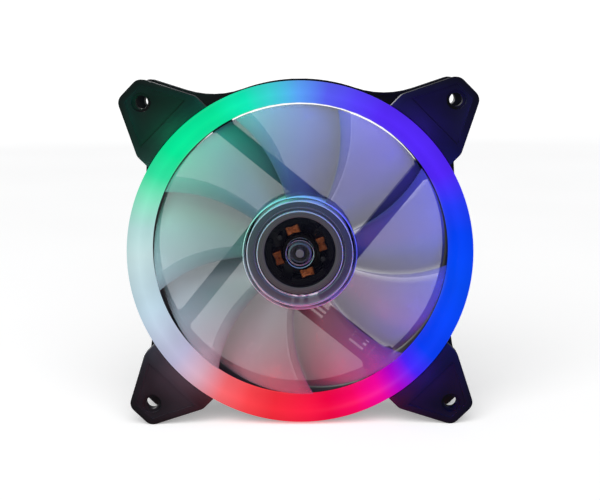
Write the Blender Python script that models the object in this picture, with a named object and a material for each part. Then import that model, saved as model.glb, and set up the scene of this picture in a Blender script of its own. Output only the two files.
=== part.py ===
"""Case fan, 120 mm across, with a clear impeller and a ring of coloured light round its front.

The fan's axis is world Y. Air enters at -Y, where the lit ring is, and leaves at +Y, where the
spokes are. Z is up, and the origin is the middle of the 120 x 25 x 120 mm body. Sizes are in
millimetres and the meshes are in metres. Each sub-part is one object; the impeller and what turns
with it have their origin on the axis. A place across a spoke is given as (along, off): along is
the distance travelled outward beside the spoke, and off is the distance from the axis.
"""

import math

import bmesh
import bpy
from mathutils import Matrix

MM = 0.001

# Overall sizes
FAN_SIZE = 120.0
DEPTH = 25.0
GAP = 0.3                   # between pieces that touch
RUNNING_GAP = 0.4           # between the turning and the standing pieces in the motor
ROUND_STEPS = 64            # sides of the large circles
HUB_STEPS = 36              # sides of the circles in the hub
SMALL_STEPS = 16            # sides of holes, bearings and pins
SWEEP_STEPS = 6             # steps along a hollow sweep or a spoke's root
CORNER_STEPS = 4            # steps round a lug's corners
ARC_STEPS = 8               # steps along a short arc of a large circle
MOUTH_STEPS = 5             # steps round the bell mouth
OVERLAP = 0.5               # how far joined shapes reach into each other
BEYOND = 1.0                # how far a cutting shape runs past what it cuts

# Screw lugs: the holes keep their inset from the square, and the lugs follow the holes
HOLE_INSET = 7.5
HOLE_RADIUS = 2.25
HOLE_SINK_RADIUS = 3.3
HOLE_SINK_DEPTH = 1.5
LUG_THICKNESS = 4.5
LUG_TIP_REACH = 6.15        # from a hole's middle to the flat tip, along the diagonal
LUG_TIP_HALF = 5.16         # half the flat tip before its corners are rounded
LUG_SHOULDER_BACK = 11.45   # from a hole's middle back to the shoulder
LUG_SHOULDER_HALF = 14.1
LUG_TIP_ROUND = 3.5
LUG_SHOULDER_ROUND = 3.5
PANEL_MARGIN = 2.3          # border left round the sunk panel on a front lug
PANEL_BACK = 10.2           # from a hole's middle back to the panel's straight inner side
PANEL_DEPTH = 0.4
FLANGE_INSET = 0.2          # rear flange's disc inside the 120 mm square
FLANGE_SWEEP = 32.0         # radius of the hollow sweep from the flange into a rear lug

# Light ring: a clear-white bell mouth over a channel with lamps
RING_INSET = 0.8            # ring inside the 120 mm square
RING_PROUD = 0.8            # ring in front of the front lugs
RING_SKIRT = 3.0            # height of the ring's outer side
RING_CREST_INSET = 1.0
RING_MOUTH_WIDTH = 6.5      # from the crest in to the throat
RING_MOUTH_DEPTH = 10.0
RING_WALL = 1.6
BARREL_INSET = 0.2          # barrel inside the ring's outer side
BARREL_WALL = 1.6
CHANNEL_DEPTH = 3.0         # from the throat seam to the channel's floor
CHANNEL_FLOOR = 1.6
DUCT_WALL = 1.6
BARREL_CHAMFER = 1.6        # on the barrel's rear edge

LAMP_COUNT = 16
LAMP_LENGTH = 3.5
LAMP_WIDTH = 2.8
LAMP_HEIGHT = 1.4
LAMP_BOARD_THICKNESS = 1.0
LAMP_BOARD_GAP = 0.4        # between the board and the channel's walls

# Spokes, seen from the front: each passes the axis on one side, like a pinwheel
SPOKE_COUNT = 4
SPOKE_ANGLE = math.radians(-39.5)
SPOKE_OUTER_OFF = 19.0
SPOKE_WIDTH = 6.0
SPOKE_HEIGHT = 4.0
SPOKE_FLARE_LENGTH = 1.7
SPOKE_FLARE_WIDTH = 0.8
CABLE_SPOKE_WIDTH = 8.4
CABLE_FLARE_LENGTH = 3.3
CABLE_FLARE_WIDTH = 1.8
CABLE_PLATE_START = 23.0    # where the channel's plate begins, along the cable spoke
CABLE_PLATE_END = 6.9       # from the duct in to the plate's outer end
CABLE_PLATE = 1.2
CABLE_RAIL = 2.4
CABLE_WALL = 1.2
CABLE_NOTCH_START = 9.0     # where the notch in the motor base begins
FLARE_KNEE = 0.7            # share of a flare's length where its outer side is full width
FLARE_INNER_START = 0.33    # share of it before the inner side starts to widen
FLARE_INNER_KNEE = 0.4      # and from there to full width
TAB_START = 12.8            # from the duct in to the middle of the retaining tab
TAB_LENGTH = 4.8
TAB_SLOT = 0.95             # open slot round the tab, seen from the front
TAB_THICKNESS = 0.8
RISE_SKIN = 1.0             # skin left behind the leads where they rise to the window
WINDOW_INSIDE = 4.0         # the window's cut, inward from the duct's face

# Motor base and bearing
BASE_RADIUS = 19.8
BASE_WALL = 1.2
BASE_FLOOR = 2.2
BASE_HEIGHT = 4.2
LABEL_RADIUS = 13.2
LABEL_THICKNESS = 0.2
LABEL_SINK = 0.6
TUBE_WALL = 0.9
BEARING_WALL = 1.2
BEARING_LENGTH = 7.7
CAP_THICKNESS = 0.9
CAP_SINK = 0.1              # cap's back in front of the label's recess

# Hub and impeller
HUB_RADIUS = 19.9
HUB_RECESS = 4.8            # hub's face behind the ring's crest
HUB_WALL = 1.5
HUB_ROUND = 1.5
BOSS_RADIUS = 5.0
BOSS_LENGTH = 4.0
BOSS_RIDGE_OUTER = 4.1
BOSS_RIDGE_INNER = 2.7
BOSS_RIDGE_HEIGHT = 0.4
BOSS_GROOVE = 0.7
COLLAR_WALL = 0.9
COLLAR_LENGTH = 3.6
BASE_CLEARANCE = 0.7        # between the hub's rear edge and the motor base
BLADE_COUNT = 9
BLADE_TIP_GAP = 0.6
BLADE_SPOKE_GAP = 3.6       # before the camber, which takes about 1.5 of it
BLADE_LEAD = 92.0           # how far the helix of a blade goes along the axis in one turn
BLADE_DEPTH = 11.6          # along the axis, between a blade's two edges
BLADE_CAMBER = 0.04         # bulge towards the intake over chord
BLADE_THICKNESS = 1.4
BLADE_EDGE_SHARE = 0.45     # edge thickness over middle thickness
BLADE_SWEEP = math.radians(12.0)
BLADE_SWEEP_POWER = 1.5     # the sweep grows faster towards the tip
BLADE_SPAN_STEPS = 5
BLADE_CHORD_STEPS = 6

# Magnet, yoke and shaft
YOKE_RADIUS = 14.7
YOKE_WALL = 0.8
YOKE_LIP = 0.6
YOKE_RECESS = 1.3           # yoke's lip behind the inside of the hub's face
MAGNET_INNER = 12.45
MAGNET_SHORT = 2.3          # magnet's rear edge in front of the motor board
SHAFT_RADIUS = 1.5
SHAFT_RECESS = 1.0          # shaft's end behind the hub's face
SHAFT_CHAMFER = 0.2
CLIP_OUTER = 2.4
CLIP_THICKNESS = 0.5
CLIP_BITE = 0.1             # how far the clip reaches inside the shaft's surface
CLIP_OPENING = math.radians(60.0)
CLIP_STEPS = 16
SHAFT_STUB = 0.8            # shaft past its groove
WASHER_OUTER = 3.6
WASHER_THICKNESS = 0.5

# Stator
POLE_ANGLES = [math.radians(18.0 + 90.0 * quarter) for quarter in range(4)]
CORE_HUB = 6.0
CORE_ARM_HALF = 0.9
CORE_SHOE_INNER = 10.3
CORE_SHOE_HALF_ANGLE = math.radians(34.0)
STATOR_HEADROOM = 4.0       # front of the winding's former behind the inside of the hub's face
FORMER_PLATE = 0.8
FORMER_HEIGHT = 2.4
FORMER_ARM_HALF = 1.15
COIL_INNER = 6.3
COIL_OUTER = 9.7
COIL_BUILD = 1.15           # depth of wire wound on the former
COIL_ROUND = 0.46           # on the coil's outer edges
PIN_ANGLES = [math.radians(146.0), math.radians(340.0)]
PIN_PLACE = 8.6
PIN_RADIUS = 1.0
BOARD_RADIUS = 18.0
BOARD_THICKNESS = 1.0
SENSOR_SIZE = (4.0, 1.0, 1.5)
SENSOR_PLACE = (13.4, math.radians(63.0))
CHIP_SIZE = (4.0, 1.2, 3.0)
CHIP_PLACE = (8.1, math.radians(63.0))

# Leads
WIRE_RADIUS = 0.5
WIRE_OFFS = [13.0, 14.9]
WIRE_START = 9.6
WIRE_EXIT_LENGTH = 3.0      # lead past the outside of the grommet's lip
WIRE_RISE_STEPS = 10
WIRE_RISE_PAST = 1.2        # end of the rise, outward from the duct's face
WINDOW_HEIGHT = 2.7
GROMMET_LIP = 1.1
GROMMET_LIP_EXTRA = 0.8
GROMMET_SINK = 1.5          # grommet's inner end, outward from the duct's face
GROMMET_LENGTH = 8.0        # long enough for the holes through the grommet

# Places worked out from the sizes above
Y_FRONT = -DEPTH / 2.0
Y_REAR = DEPTH / 2.0
Y_LUG_FRONT = Y_FRONT + RING_PROUD
Y_LUG_FRONT_BACK = Y_LUG_FRONT + LUG_THICKNESS
Y_FLANGE = Y_REAR - LUG_THICKNESS
RING_RADIUS = FAN_SIZE / 2.0 - RING_INSET
CREST_RADIUS = RING_RADIUS - RING_CREST_INSET
DUCT_RADIUS = CREST_RADIUS - RING_MOUTH_WIDTH
DUCT_OUTER = DUCT_RADIUS + DUCT_WALL
Y_THROAT = Y_FRONT + RING_MOUTH_DEPTH
Y_SKIRT = Y_FRONT + RING_SKIRT
Y_BARREL = Y_SKIRT + GAP
BARREL_RADIUS = RING_RADIUS - BARREL_INSET
BARREL_INNER = BARREL_RADIUS - BARREL_WALL
Y_FLOOR = Y_THROAT + GAP + CHANNEL_DEPTH
FLANGE_RADIUS = FAN_SIZE / 2.0 - FLANGE_INSET
HOLE_DIAGONAL = math.sqrt(2.0) * (FAN_SIZE / 2.0 - HOLE_INSET)
Y_SPOKE = Y_REAR - SPOKE_HEIGHT
Y_BASE = Y_REAR - BASE_HEIGHT
Y_BASE_FLOOR = Y_REAR - BASE_FLOOR
Y_BOARD_BACK = Y_BASE_FLOOR - GAP
Y_BOARD = Y_BOARD_BACK - BOARD_THICKNESS
Y_HUB = Y_FRONT + HUB_RECESS
Y_HUB_INSIDE = Y_HUB + HUB_WALL
Y_HUB_REAR = Y_BASE - BASE_CLEARANCE
Y_BOSS_END = Y_HUB_INSIDE + BOSS_LENGTH
Y_WASHER = Y_BOSS_END + GAP
Y_TUBE = Y_WASHER + WASHER_THICKNESS + GAP
BORE_RADIUS = SHAFT_RADIUS + GAP
BEARING_RADIUS = BORE_RADIUS + BEARING_WALL
TUBE_INNER = BEARING_RADIUS + GAP
TUBE_OUTER = TUBE_INNER + TUBE_WALL
Y_CLIP = Y_TUBE + BEARING_LENGTH + 2.0 * GAP
Y_SHAFT_END = Y_CLIP + CLIP_THICKNESS + GAP + SHAFT_STUB
STATOR_RADIUS = MAGNET_INNER - RUNNING_GAP
STATOR_BORE = TUBE_OUTER + GAP
MAGNET_OUTER = YOKE_RADIUS - YOKE_WALL - GAP
Y_YOKE = Y_HUB_INSIDE + YOKE_RECESS
Y_MAGNET = Y_YOKE + YOKE_LIP + GAP
Y_MAGNET_END = Y_BOARD - MAGNET_SHORT
Y_FORMER = Y_HUB_INSIDE + STATOR_HEADROOM
Y_CORE = Y_FORMER + FORMER_HEIGHT + GAP
Y_FORMER_END = Y_BOARD - RUNNING_GAP
Y_CORE_END = Y_FORMER_END - FORMER_HEIGHT - GAP
BLADE_TIP = DUCT_RADIUS - BLADE_TIP_GAP
BLADE_ROOT = HUB_RADIUS - HUB_WALL / 2.0
Y_BLADE = (Y_HUB + HUB_ROUND + Y_SPOKE - BLADE_SPOKE_GAP) / 2.0
Y_PLATE_BACK = Y_SPOKE + CABLE_PLATE
Y_WIRE = Y_BOARD_BACK + GAP + WIRE_RADIUS
Y_WINDOW_BACK = Y_FLANGE - GAP
Y_WINDOW = Y_WINDOW_BACK - WINDOW_HEIGHT
Y_WIRE_EXIT = (Y_WINDOW + Y_WINDOW_BACK) / 2.0
RAIL_OFF = SPOKE_OUTER_OFF - CABLE_RAIL
CABLE_INNER_OFF = SPOKE_OUTER_OFF - CABLE_SPOKE_WIDTH
CHANNEL_OFF = CABLE_INNER_OFF + CABLE_WALL


# Helpers

def clear_scene():
    """Removes every object, so that the script can be run again in the same file."""
    for item in list(bpy.data.objects):
        bpy.data.objects.remove(item, do_unlink=True)


def make_material(name, colour, roughness, metallic=0.0, alpha=1.0):
    """One Principled material with a plain colour."""
    material = bpy.data.materials.new(name)
    material.use_nodes = True
    shader = material.node_tree.nodes["Principled BSDF"]
    shader.inputs["Base Color"].default_value = (*colour, 1.0)
    shader.inputs["Roughness"].default_value = roughness
    shader.inputs["Metallic"].default_value = metallic
    shader.inputs["Alpha"].default_value = alpha
    return material


def add_object(name, shape, material=None, crease=35.0):
    """Turns a bmesh into an object, smooth but for edges sharper than the crease angle."""
    bmesh.ops.recalc_face_normals(shape, faces=shape.faces)
    mesh = bpy.data.meshes.new(name)
    shape.to_mesh(mesh)
    shape.free()
    mesh.shade_smooth()
    mesh.set_sharp_from_angle(angle=math.radians(crease))
    made = bpy.data.objects.new(name, mesh)
    bpy.context.scene.collection.objects.link(made)
    if material:
        made.data.materials.append(material)
    return made


def add_tool(name, shape):
    """An object that only shapes others, and isn't part of the fan itself."""
    made = add_object(name, shape)
    made.hide_render = True
    made.display_type = "WIRE"
    return made


def combine(target, operation, name, shape, solver="EXACT"):
    """Joins a shape to the target, or cuts it from the target."""
    modifier = target.modifiers.new(name, "BOOLEAN")
    modifier.operation = operation
    modifier.solver = solver
    modifier.object = add_tool(name, shape)


def arc(centre, radius, start, end, steps):
    """Points along an arc, both ends included, with angles in radians."""
    angles = [start + (end - start) * step / steps for step in range(steps + 1)]
    return [
        (centre[0] + radius * math.cos(angle), centre[1] + radius * math.sin(angle))
        for angle in angles
    ]


def round_corner(before, corner, after, radius, steps):
    """Points of the arc that rounds one corner of an outline."""
    back = (before[0] - corner[0], before[1] - corner[1])
    ahead = (after[0] - corner[0], after[1] - corner[1])
    turn = math.atan2(back[0] * ahead[1] - back[1] * ahead[0], back[0] * ahead[0] + back[1] * ahead[1])
    reach = radius / math.tan(abs(turn) / 2.0)
    first = math.atan2(back[1], back[0])
    middle = first + turn / 2.0
    far = radius / math.sin(abs(turn) / 2.0)
    centre = (corner[0] + far * math.cos(middle), corner[1] + far * math.sin(middle))
    start_point = (corner[0] + reach * math.cos(first), corner[1] + reach * math.sin(first))
    start = math.atan2(start_point[1] - centre[1], start_point[0] - centre[0])
    sweep = -math.copysign(math.pi - abs(turn), turn)
    return arc(centre, radius, start, start + sweep, steps)


def turned(profile, steps):
    """A solid turned about the fan's axis from a closed outline of (radius, y) points."""
    shape = bmesh.new()
    add_turned(shape, profile, steps)
    return shape


def add_turned(shape, profile, steps, centre=(0.0, 0.0)):
    """Adds a turned solid whose axis is parallel to the fan's, at centre (x, z)."""
    middle = (centre[0] * MM, 0.0, centre[1] * MM)
    verts = [shape.verts.new((middle[0] + r * MM, y * MM, middle[2])) for r, y in profile]
    pairs = zip(range(len(profile)), [*range(1, len(profile)), 0])
    edges = [
        shape.edges.new((verts[a], verts[b]))
        for a, b in pairs
        if profile[a][0] > 0.0 or profile[b][0] > 0.0
    ]
    bmesh.ops.spin(
        shape, geom=verts + edges, cent=middle, axis=(0.0, 1.0, 0.0),
        angle=2.0 * math.pi, steps=steps, use_merge=True,
    )
    bmesh.ops.remove_doubles(shape, verts=shape.verts, dist=1e-7)


def add_prism(shape, outline, y_start, y_end):
    """Adds an outline of (x, z) points, extruded along the fan's axis."""
    face = shape.faces.new([shape.verts.new((x * MM, y_start * MM, z * MM)) for x, z in outline])
    grown = bmesh.ops.extrude_face_region(shape, geom=[face])
    verts = [item for item in grown["geom"] if isinstance(item, bmesh.types.BMVert)]
    bmesh.ops.translate(shape, verts=verts, vec=(0.0, (y_end - y_start) * MM, 0.0))


def prism(outline, y_start, y_end):
    """An outline of (x, z) points, extruded along the fan's axis."""
    shape = bmesh.new()
    add_prism(shape, outline, y_start, y_end)
    return shape


def rod(radius, y_start, y_end, steps, centre=(0.0, 0.0)):
    """A plain round bar parallel to the fan's axis."""
    shape = bmesh.new()
    add_turned(shape, [(0.0, y_start), (radius, y_start), (radius, y_end), (0.0, y_end)], steps, centre)
    return shape


def ring_profile(inner, outer, y_start, y_end):
    """The outline of a plain ring."""
    return [(inner, y_start), (outer, y_start), (outer, y_end), (inner, y_end)]


def turn_point(point, angle):
    """An (x, z) point turned about the fan's axis."""
    x, z = point
    return (
        x * math.cos(angle) - z * math.sin(angle),
        x * math.sin(angle) + z * math.cos(angle),
    )


def spoke_point(along, off, spoke=0):
    """The (x, z) place that lies along a spoke and off the axis. Spoke 0 carries the leads."""
    angle = SPOKE_ANGLE + spoke * 2.0 * math.pi / SPOKE_COUNT
    return turn_point((along, -off), angle)


def along_at(radius, off):
    """How far along a spoke its line at this off meets a circle round the axis."""
    return math.sqrt(radius * radius - off * off)


def spoke_box(along_start, along_end, off_start, off_end, spoke=0):
    """The outline of a rectangle laid along a spoke."""
    corners = [
        (along_start, off_start), (along_end, off_start),
        (along_end, off_end), (along_start, off_end),
    ]
    return [spoke_point(along, off, spoke) for along, off in corners]


# Frame

def lug_half_outline(corner_steps):
    """One side of a lug from its shoulder to its tip, as (diagonal, side) points."""
    shoulder = (HOLE_DIAGONAL - LUG_SHOULDER_BACK, LUG_SHOULDER_HALF)
    tip = (HOLE_DIAGONAL + LUG_TIP_REACH, LUG_TIP_HALF)
    return shoulder, round_corner(shoulder, tip, (tip[0], 0.0), LUG_TIP_ROUND, corner_steps)


def to_corner(points, corner):
    """Places (diagonal, side) points at one of the fan's corners, as (x, z)."""
    return [turn_point(point, math.radians(45.0 + 90.0 * corner)) for point in points]


def front_lug_outline():
    """A front lug: cut square to the ring at its shoulders, and rooted in the barrel's wall."""
    root = BARREL_RADIUS - BARREL_WALL / 2.0
    half_angle = math.asin(LUG_SHOULDER_HALF / root)
    shoulder, tip = lug_half_outline(CORNER_STEPS)
    foot = (root * math.cos(half_angle), LUG_SHOULDER_HALF)
    side = round_corner(foot, shoulder, tip[0], LUG_SHOULDER_ROUND, CORNER_STEPS) + tip
    other = [(diagonal, -across) for diagonal, across in reversed(side)]
    inner = arc((0.0, 0.0), root, -half_angle, half_angle, ARC_STEPS)
    return side + other + inner


def rear_flange_outline():
    """The rear flange: a disc that sweeps out into the four rear lugs."""
    shoulder, tip = lug_half_outline(CORNER_STEPS)
    slope = math.atan2(tip[0][1] - shoulder[1], tip[0][0] - shoulder[0])
    normal = (-math.sin(slope), math.cos(slope))
    reach = shoulder[0] * normal[0] + shoulder[1] * normal[1]
    distance = math.sqrt((FLANGE_RADIUS + FLANGE_SWEEP) ** 2 - (reach + FLANGE_SWEEP) ** 2)
    centre = (
        distance * math.cos(slope) + (reach + FLANGE_SWEEP) * normal[0],
        distance * math.sin(slope) + (reach + FLANGE_SWEEP) * normal[1],
    )
    disc_angle = math.atan2(centre[1], centre[0])
    sweep = arc(centre, FLANGE_SWEEP, disc_angle - math.pi, slope - math.pi / 2.0, SWEEP_STEPS)
    half = sweep + tip
    waist = arc((0.0, 0.0), FLANGE_RADIUS, math.pi / 4.0, disc_angle, ARC_STEPS)
    side = waist[1:-1] + half
    outline = []
    for corner in range(4):
        other = [(diagonal, -across) for diagonal, across in side]
        outline += to_corner(other + list(reversed(side)), corner)
    return outline


def panel_outline():
    """The sunk panel on a front lug."""
    shoulder = (HOLE_DIAGONAL - LUG_SHOULDER_BACK, LUG_SHOULDER_HALF)
    tip = (HOLE_DIAGONAL + LUG_TIP_REACH, LUG_TIP_HALF)
    slope = math.atan2(shoulder[1] - tip[1], tip[0] - shoulder[0])
    lower = PANEL_MARGIN / math.cos(slope)
    start = HOLE_DIAGONAL - PANEL_BACK
    end = tip[0] - PANEL_MARGIN
    at_start = shoulder[1] - (start - shoulder[0]) * math.tan(slope) - lower
    at_end = shoulder[1] - (end - shoulder[0]) * math.tan(slope) - lower
    return [(start, at_start), (end, at_end), (end, -at_end), (start, -at_start)]


def barrel_profile():
    """The duct and the lamp channel, before the bore and the ring's seat are cut."""
    y_back = Y_FLOOR + CHANNEL_FLOOR
    y_end = (Y_FLANGE + Y_REAR) / 2.0
    return [
        (DUCT_RADIUS - OVERLAP, Y_THROAT + GAP),
        (DUCT_OUTER, Y_THROAT + GAP),
        (DUCT_OUTER, Y_FLOOR),
        (BARREL_INNER, Y_FLOOR),
        (BARREL_INNER, Y_BARREL - OVERLAP),
        (BARREL_RADIUS, Y_BARREL - OVERLAP),
        (BARREL_RADIUS, y_back - BARREL_CHAMFER),
        (BARREL_RADIUS - BARREL_CHAMFER, y_back),
        (DUCT_OUTER, y_back),
        (DUCT_OUTER, y_end),
        (DUCT_RADIUS - OVERLAP, y_end),
    ]


def bore_profile():
    """The cut that opens the duct and seats the ring among the front lugs."""
    return [
        (0.0, Y_FRONT - BEYOND),
        (RING_RADIUS + GAP, Y_FRONT - BEYOND),
        (RING_RADIUS + GAP, Y_BARREL),
        (DUCT_RADIUS, Y_BARREL),
        (DUCT_RADIUS, Y_REAR + BEYOND),
        (0.0, Y_REAR + BEYOND),
    ]


def spoke_outline(spoke, inner_off, flare_length, flare_width):
    """A spoke with its flared foot at the duct."""
    foot = DUCT_RADIUS + DUCT_WALL / 2.0
    flare_start = DUCT_RADIUS - flare_length
    outer_wide = SPOKE_OUTER_OFF + flare_width
    inner_wide = inner_off - flare_width
    outer_along = along_at(flare_start, SPOKE_OUTER_OFF)
    inner_along = along_at(flare_start + flare_length * FLARE_INNER_START, inner_off)
    root_offs = [
        inner_off + (SPOKE_OUTER_OFF - inner_off) * step / SWEEP_STEPS for step in range(SWEEP_STEPS + 1)
    ]
    root = [(along_at(BASE_RADIUS - BASE_WALL / 2.0, off), off) for off in root_offs]
    points = [
        *root,
        (outer_along, SPOKE_OUTER_OFF),
        (outer_along + flare_length * FLARE_KNEE, outer_wide),
        (along_at(foot, outer_wide), outer_wide),
        (along_at(foot, inner_wide), inner_wide),
        (inner_along + flare_length * FLARE_INNER_KNEE, inner_wide),
        (inner_along, inner_off),
    ]
    return [spoke_point(along, off, spoke) for along, off in points]


def spokes_shape():
    """The four spokes: the first is wider and carries the leads."""
    shape = bmesh.new()
    add_prism(
        shape,
        spoke_outline(0, CABLE_INNER_OFF, CABLE_FLARE_LENGTH, CABLE_FLARE_WIDTH),
        Y_SPOKE, Y_REAR,
    )
    plain_off = SPOKE_OUTER_OFF - SPOKE_WIDTH
    for spoke in range(1, SPOKE_COUNT):
        outline = spoke_outline(spoke, plain_off, SPOKE_FLARE_LENGTH, SPOKE_FLARE_WIDTH)
        add_prism(shape, outline, Y_SPOKE, Y_REAR)
    return shape


def base_profile():
    """The motor base: a shallow cup with the bearing tube and a recess for the label."""
    y_recess = Y_REAR - LABEL_SINK
    return [
        (TUBE_INNER, Y_TUBE),
        (TUBE_OUTER, Y_TUBE),
        (TUBE_OUTER, Y_BASE_FLOOR),
        (BASE_RADIUS - BASE_WALL, Y_BASE_FLOOR),
        (BASE_RADIUS - BASE_WALL, Y_BASE),
        (BASE_RADIUS, Y_BASE),
        (BASE_RADIUS, Y_REAR),
        (LABEL_RADIUS + GAP, Y_REAR),
        (LABEL_RADIUS + GAP, y_recess),
        (TUBE_INNER, y_recess),
    ]


def hole_cuts():
    """The eight screw holes, in line front to rear, with sinks on the front lugs."""
    shape = bmesh.new()
    for corner in range(4):
        centre = to_corner([(HOLE_DIAGONAL, 0.0)], corner)[0]
        y_sink = Y_LUG_FRONT + HOLE_SINK_DEPTH
        profile = [
            (0.0, Y_LUG_FRONT - BEYOND),
            (HOLE_SINK_RADIUS, Y_LUG_FRONT - BEYOND),
            (HOLE_SINK_RADIUS, y_sink),
            (HOLE_RADIUS, y_sink),
            (HOLE_RADIUS, Y_REAR + BEYOND),
            (0.0, Y_REAR + BEYOND),
        ]
        add_turned(shape, profile, SMALL_STEPS, centre)
    return shape


def panel_cuts():
    """The shallow panels on the front lugs."""
    shape = bmesh.new()
    for corner in range(4):
        outline = to_corner(panel_outline(), corner)
        add_prism(shape, outline, Y_LUG_FRONT - BEYOND, Y_LUG_FRONT + PANEL_DEPTH)
    return shape


def shape_frame(frame, operation, name, shape):
    """A step of the frame. EXACT loses faces of a body with this many cuts in line."""
    combine(frame, operation, name, shape, solver="MANIFOLD")


def cut_cable_way(frame):
    """Opens the notch, the channel, the tab's slot and the window that the leads pass through."""
    plate_end = DUCT_RADIUS - CABLE_PLATE_END
    tab_middle = DUCT_RADIUS - TAB_START
    tab_start = tab_middle - TAB_LENGTH / 2.0
    tab_end = tab_middle + TAB_LENGTH / 2.0
    duct_along = along_at(DUCT_RADIUS, RAIL_OFF)
    notch = spoke_box(CABLE_NOTCH_START, CABLE_PLATE_START, CABLE_INNER_OFF - BEYOND, RAIL_OFF)
    shape_frame(frame, "DIFFERENCE", "tool_notch", prism(notch, Y_BASE - BEYOND, Y_REAR + BEYOND))
    channel = spoke_box(CABLE_PLATE_START - BEYOND, plate_end + BEYOND, CHANNEL_OFF, RAIL_OFF)
    shape_frame(frame, "DIFFERENCE", "tool_channel", prism(channel, Y_PLATE_BACK, Y_REAR + BEYOND))
    slot = spoke_box(tab_start - TAB_SLOT, tab_end + TAB_SLOT, CHANNEL_OFF, RAIL_OFF)
    shape_frame(frame, "DIFFERENCE", "tool_slot", prism(slot, Y_SPOKE - BEYOND, Y_PLATE_BACK + OVERLAP))
    rise = spoke_box(plate_end, along_at(DUCT_RADIUS, CHANNEL_OFF), CHANNEL_OFF, RAIL_OFF)
    shape_frame(frame, "DIFFERENCE", "tool_rise", prism(rise, Y_SPOKE - BEYOND, Y_REAR - RISE_SKIN))
    window = spoke_box(duct_along - WINDOW_INSIDE, DUCT_OUTER + BEYOND, CHANNEL_OFF, RAIL_OFF)
    shape_frame(frame, "DIFFERENCE", "tool_window", prism(window, Y_WINDOW, Y_WINDOW_BACK))
    tab = spoke_box(tab_start, tab_end, CABLE_INNER_OFF + CABLE_WALL / 2.0, RAIL_OFF - TAB_SLOT)
    shape_frame(frame, "UNION", "tool_tab", prism(tab, Y_REAR - TAB_THICKNESS, Y_REAR))


def add_frame(material):
    """The black moulding: duct, lamp channel, eight lugs, four spokes, motor base and tube."""
    frame = add_object("frame", turned(barrel_profile(), ROUND_STEPS), material)
    shape_frame(frame, "UNION", "tool_flange", prism(rear_flange_outline(), Y_FLANGE, Y_REAR))
    lugs = bmesh.new()
    for corner in range(4):
        add_prism(lugs, to_corner(front_lug_outline(), corner), Y_LUG_FRONT, Y_LUG_FRONT_BACK)
    shape_frame(frame, "UNION", "tool_lugs", lugs)
    shape_frame(frame, "DIFFERENCE", "tool_bore", turned(bore_profile(), ROUND_STEPS))
    shape_frame(frame, "UNION", "tool_spokes", spokes_shape())
    shape_frame(frame, "UNION", "tool_base", turned(base_profile(), HUB_STEPS))
    shape_frame(frame, "DIFFERENCE", "tool_holes", hole_cuts())
    shape_frame(frame, "DIFFERENCE", "tool_panels", panel_cuts())
    cut_cable_way(frame)


# Light ring

def add_diffuser(material):
    """The milky ring: a bell mouth with a short outer skirt, one even wall all round."""
    outside = []
    inside = []
    for step in range(MOUTH_STEPS + 1):
        angle = math.pi / 2.0 * step / MOUTH_STEPS
        inward = math.sin(angle)
        forward = math.cos(angle)
        outside.append((CREST_RADIUS - RING_MOUTH_WIDTH * inward, Y_THROAT - RING_MOUTH_DEPTH * forward))
        radius = CREST_RADIUS - (RING_MOUTH_WIDTH - RING_WALL) * inward
        if radius < RING_RADIUS - RING_WALL:
            inside.append((radius, Y_THROAT - (RING_MOUTH_DEPTH - RING_WALL) * forward))
    crest = arc((CREST_RADIUS, Y_FRONT + RING_CREST_INSET), RING_CREST_INSET, 0.0, -math.pi / 2.0, 2)
    skirt_inner = RING_RADIUS - RING_WALL
    profile = [(RING_RADIUS, Y_SKIRT), *crest[:-1], *outside, *reversed(inside)]
    profile += [(skirt_inner, Y_FRONT + RING_WALL), (skirt_inner, Y_SKIRT)]
    add_object("light_diffuser", turned(profile, ROUND_STEPS), material, 50.0)


def add_lamps(board_material, lamp_material):
    """The ring board on the channel's floor, and its lamps at an even pitch."""
    inner = DUCT_OUTER + LAMP_BOARD_GAP
    outer = BARREL_INNER - LAMP_BOARD_GAP
    y_board = Y_FLOOR - GAP - LAMP_BOARD_THICKNESS
    board = turned(ring_profile(inner, outer, y_board, Y_FLOOR - GAP), ROUND_STEPS)
    add_object("lamp_board", board, board_material)
    middle = (inner + outer) / 2.0
    corners = [
        (middle - LAMP_WIDTH / 2.0, -LAMP_LENGTH / 2.0), (middle + LAMP_WIDTH / 2.0, -LAMP_LENGTH / 2.0),
        (middle + LAMP_WIDTH / 2.0, LAMP_LENGTH / 2.0), (middle - LAMP_WIDTH / 2.0, LAMP_LENGTH / 2.0),
    ]
    for lamp in range(LAMP_COUNT):
        angle = math.pi / 2.0 - 2.0 * math.pi * lamp / LAMP_COUNT
        outline = [turn_point(corner, angle) for corner in corners]
        body = prism(outline, y_board - GAP - LAMP_HEIGHT, y_board - GAP)
        add_object(f"lamp_{lamp + 1:02d}", body, lamp_material)


# Rotor

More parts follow.
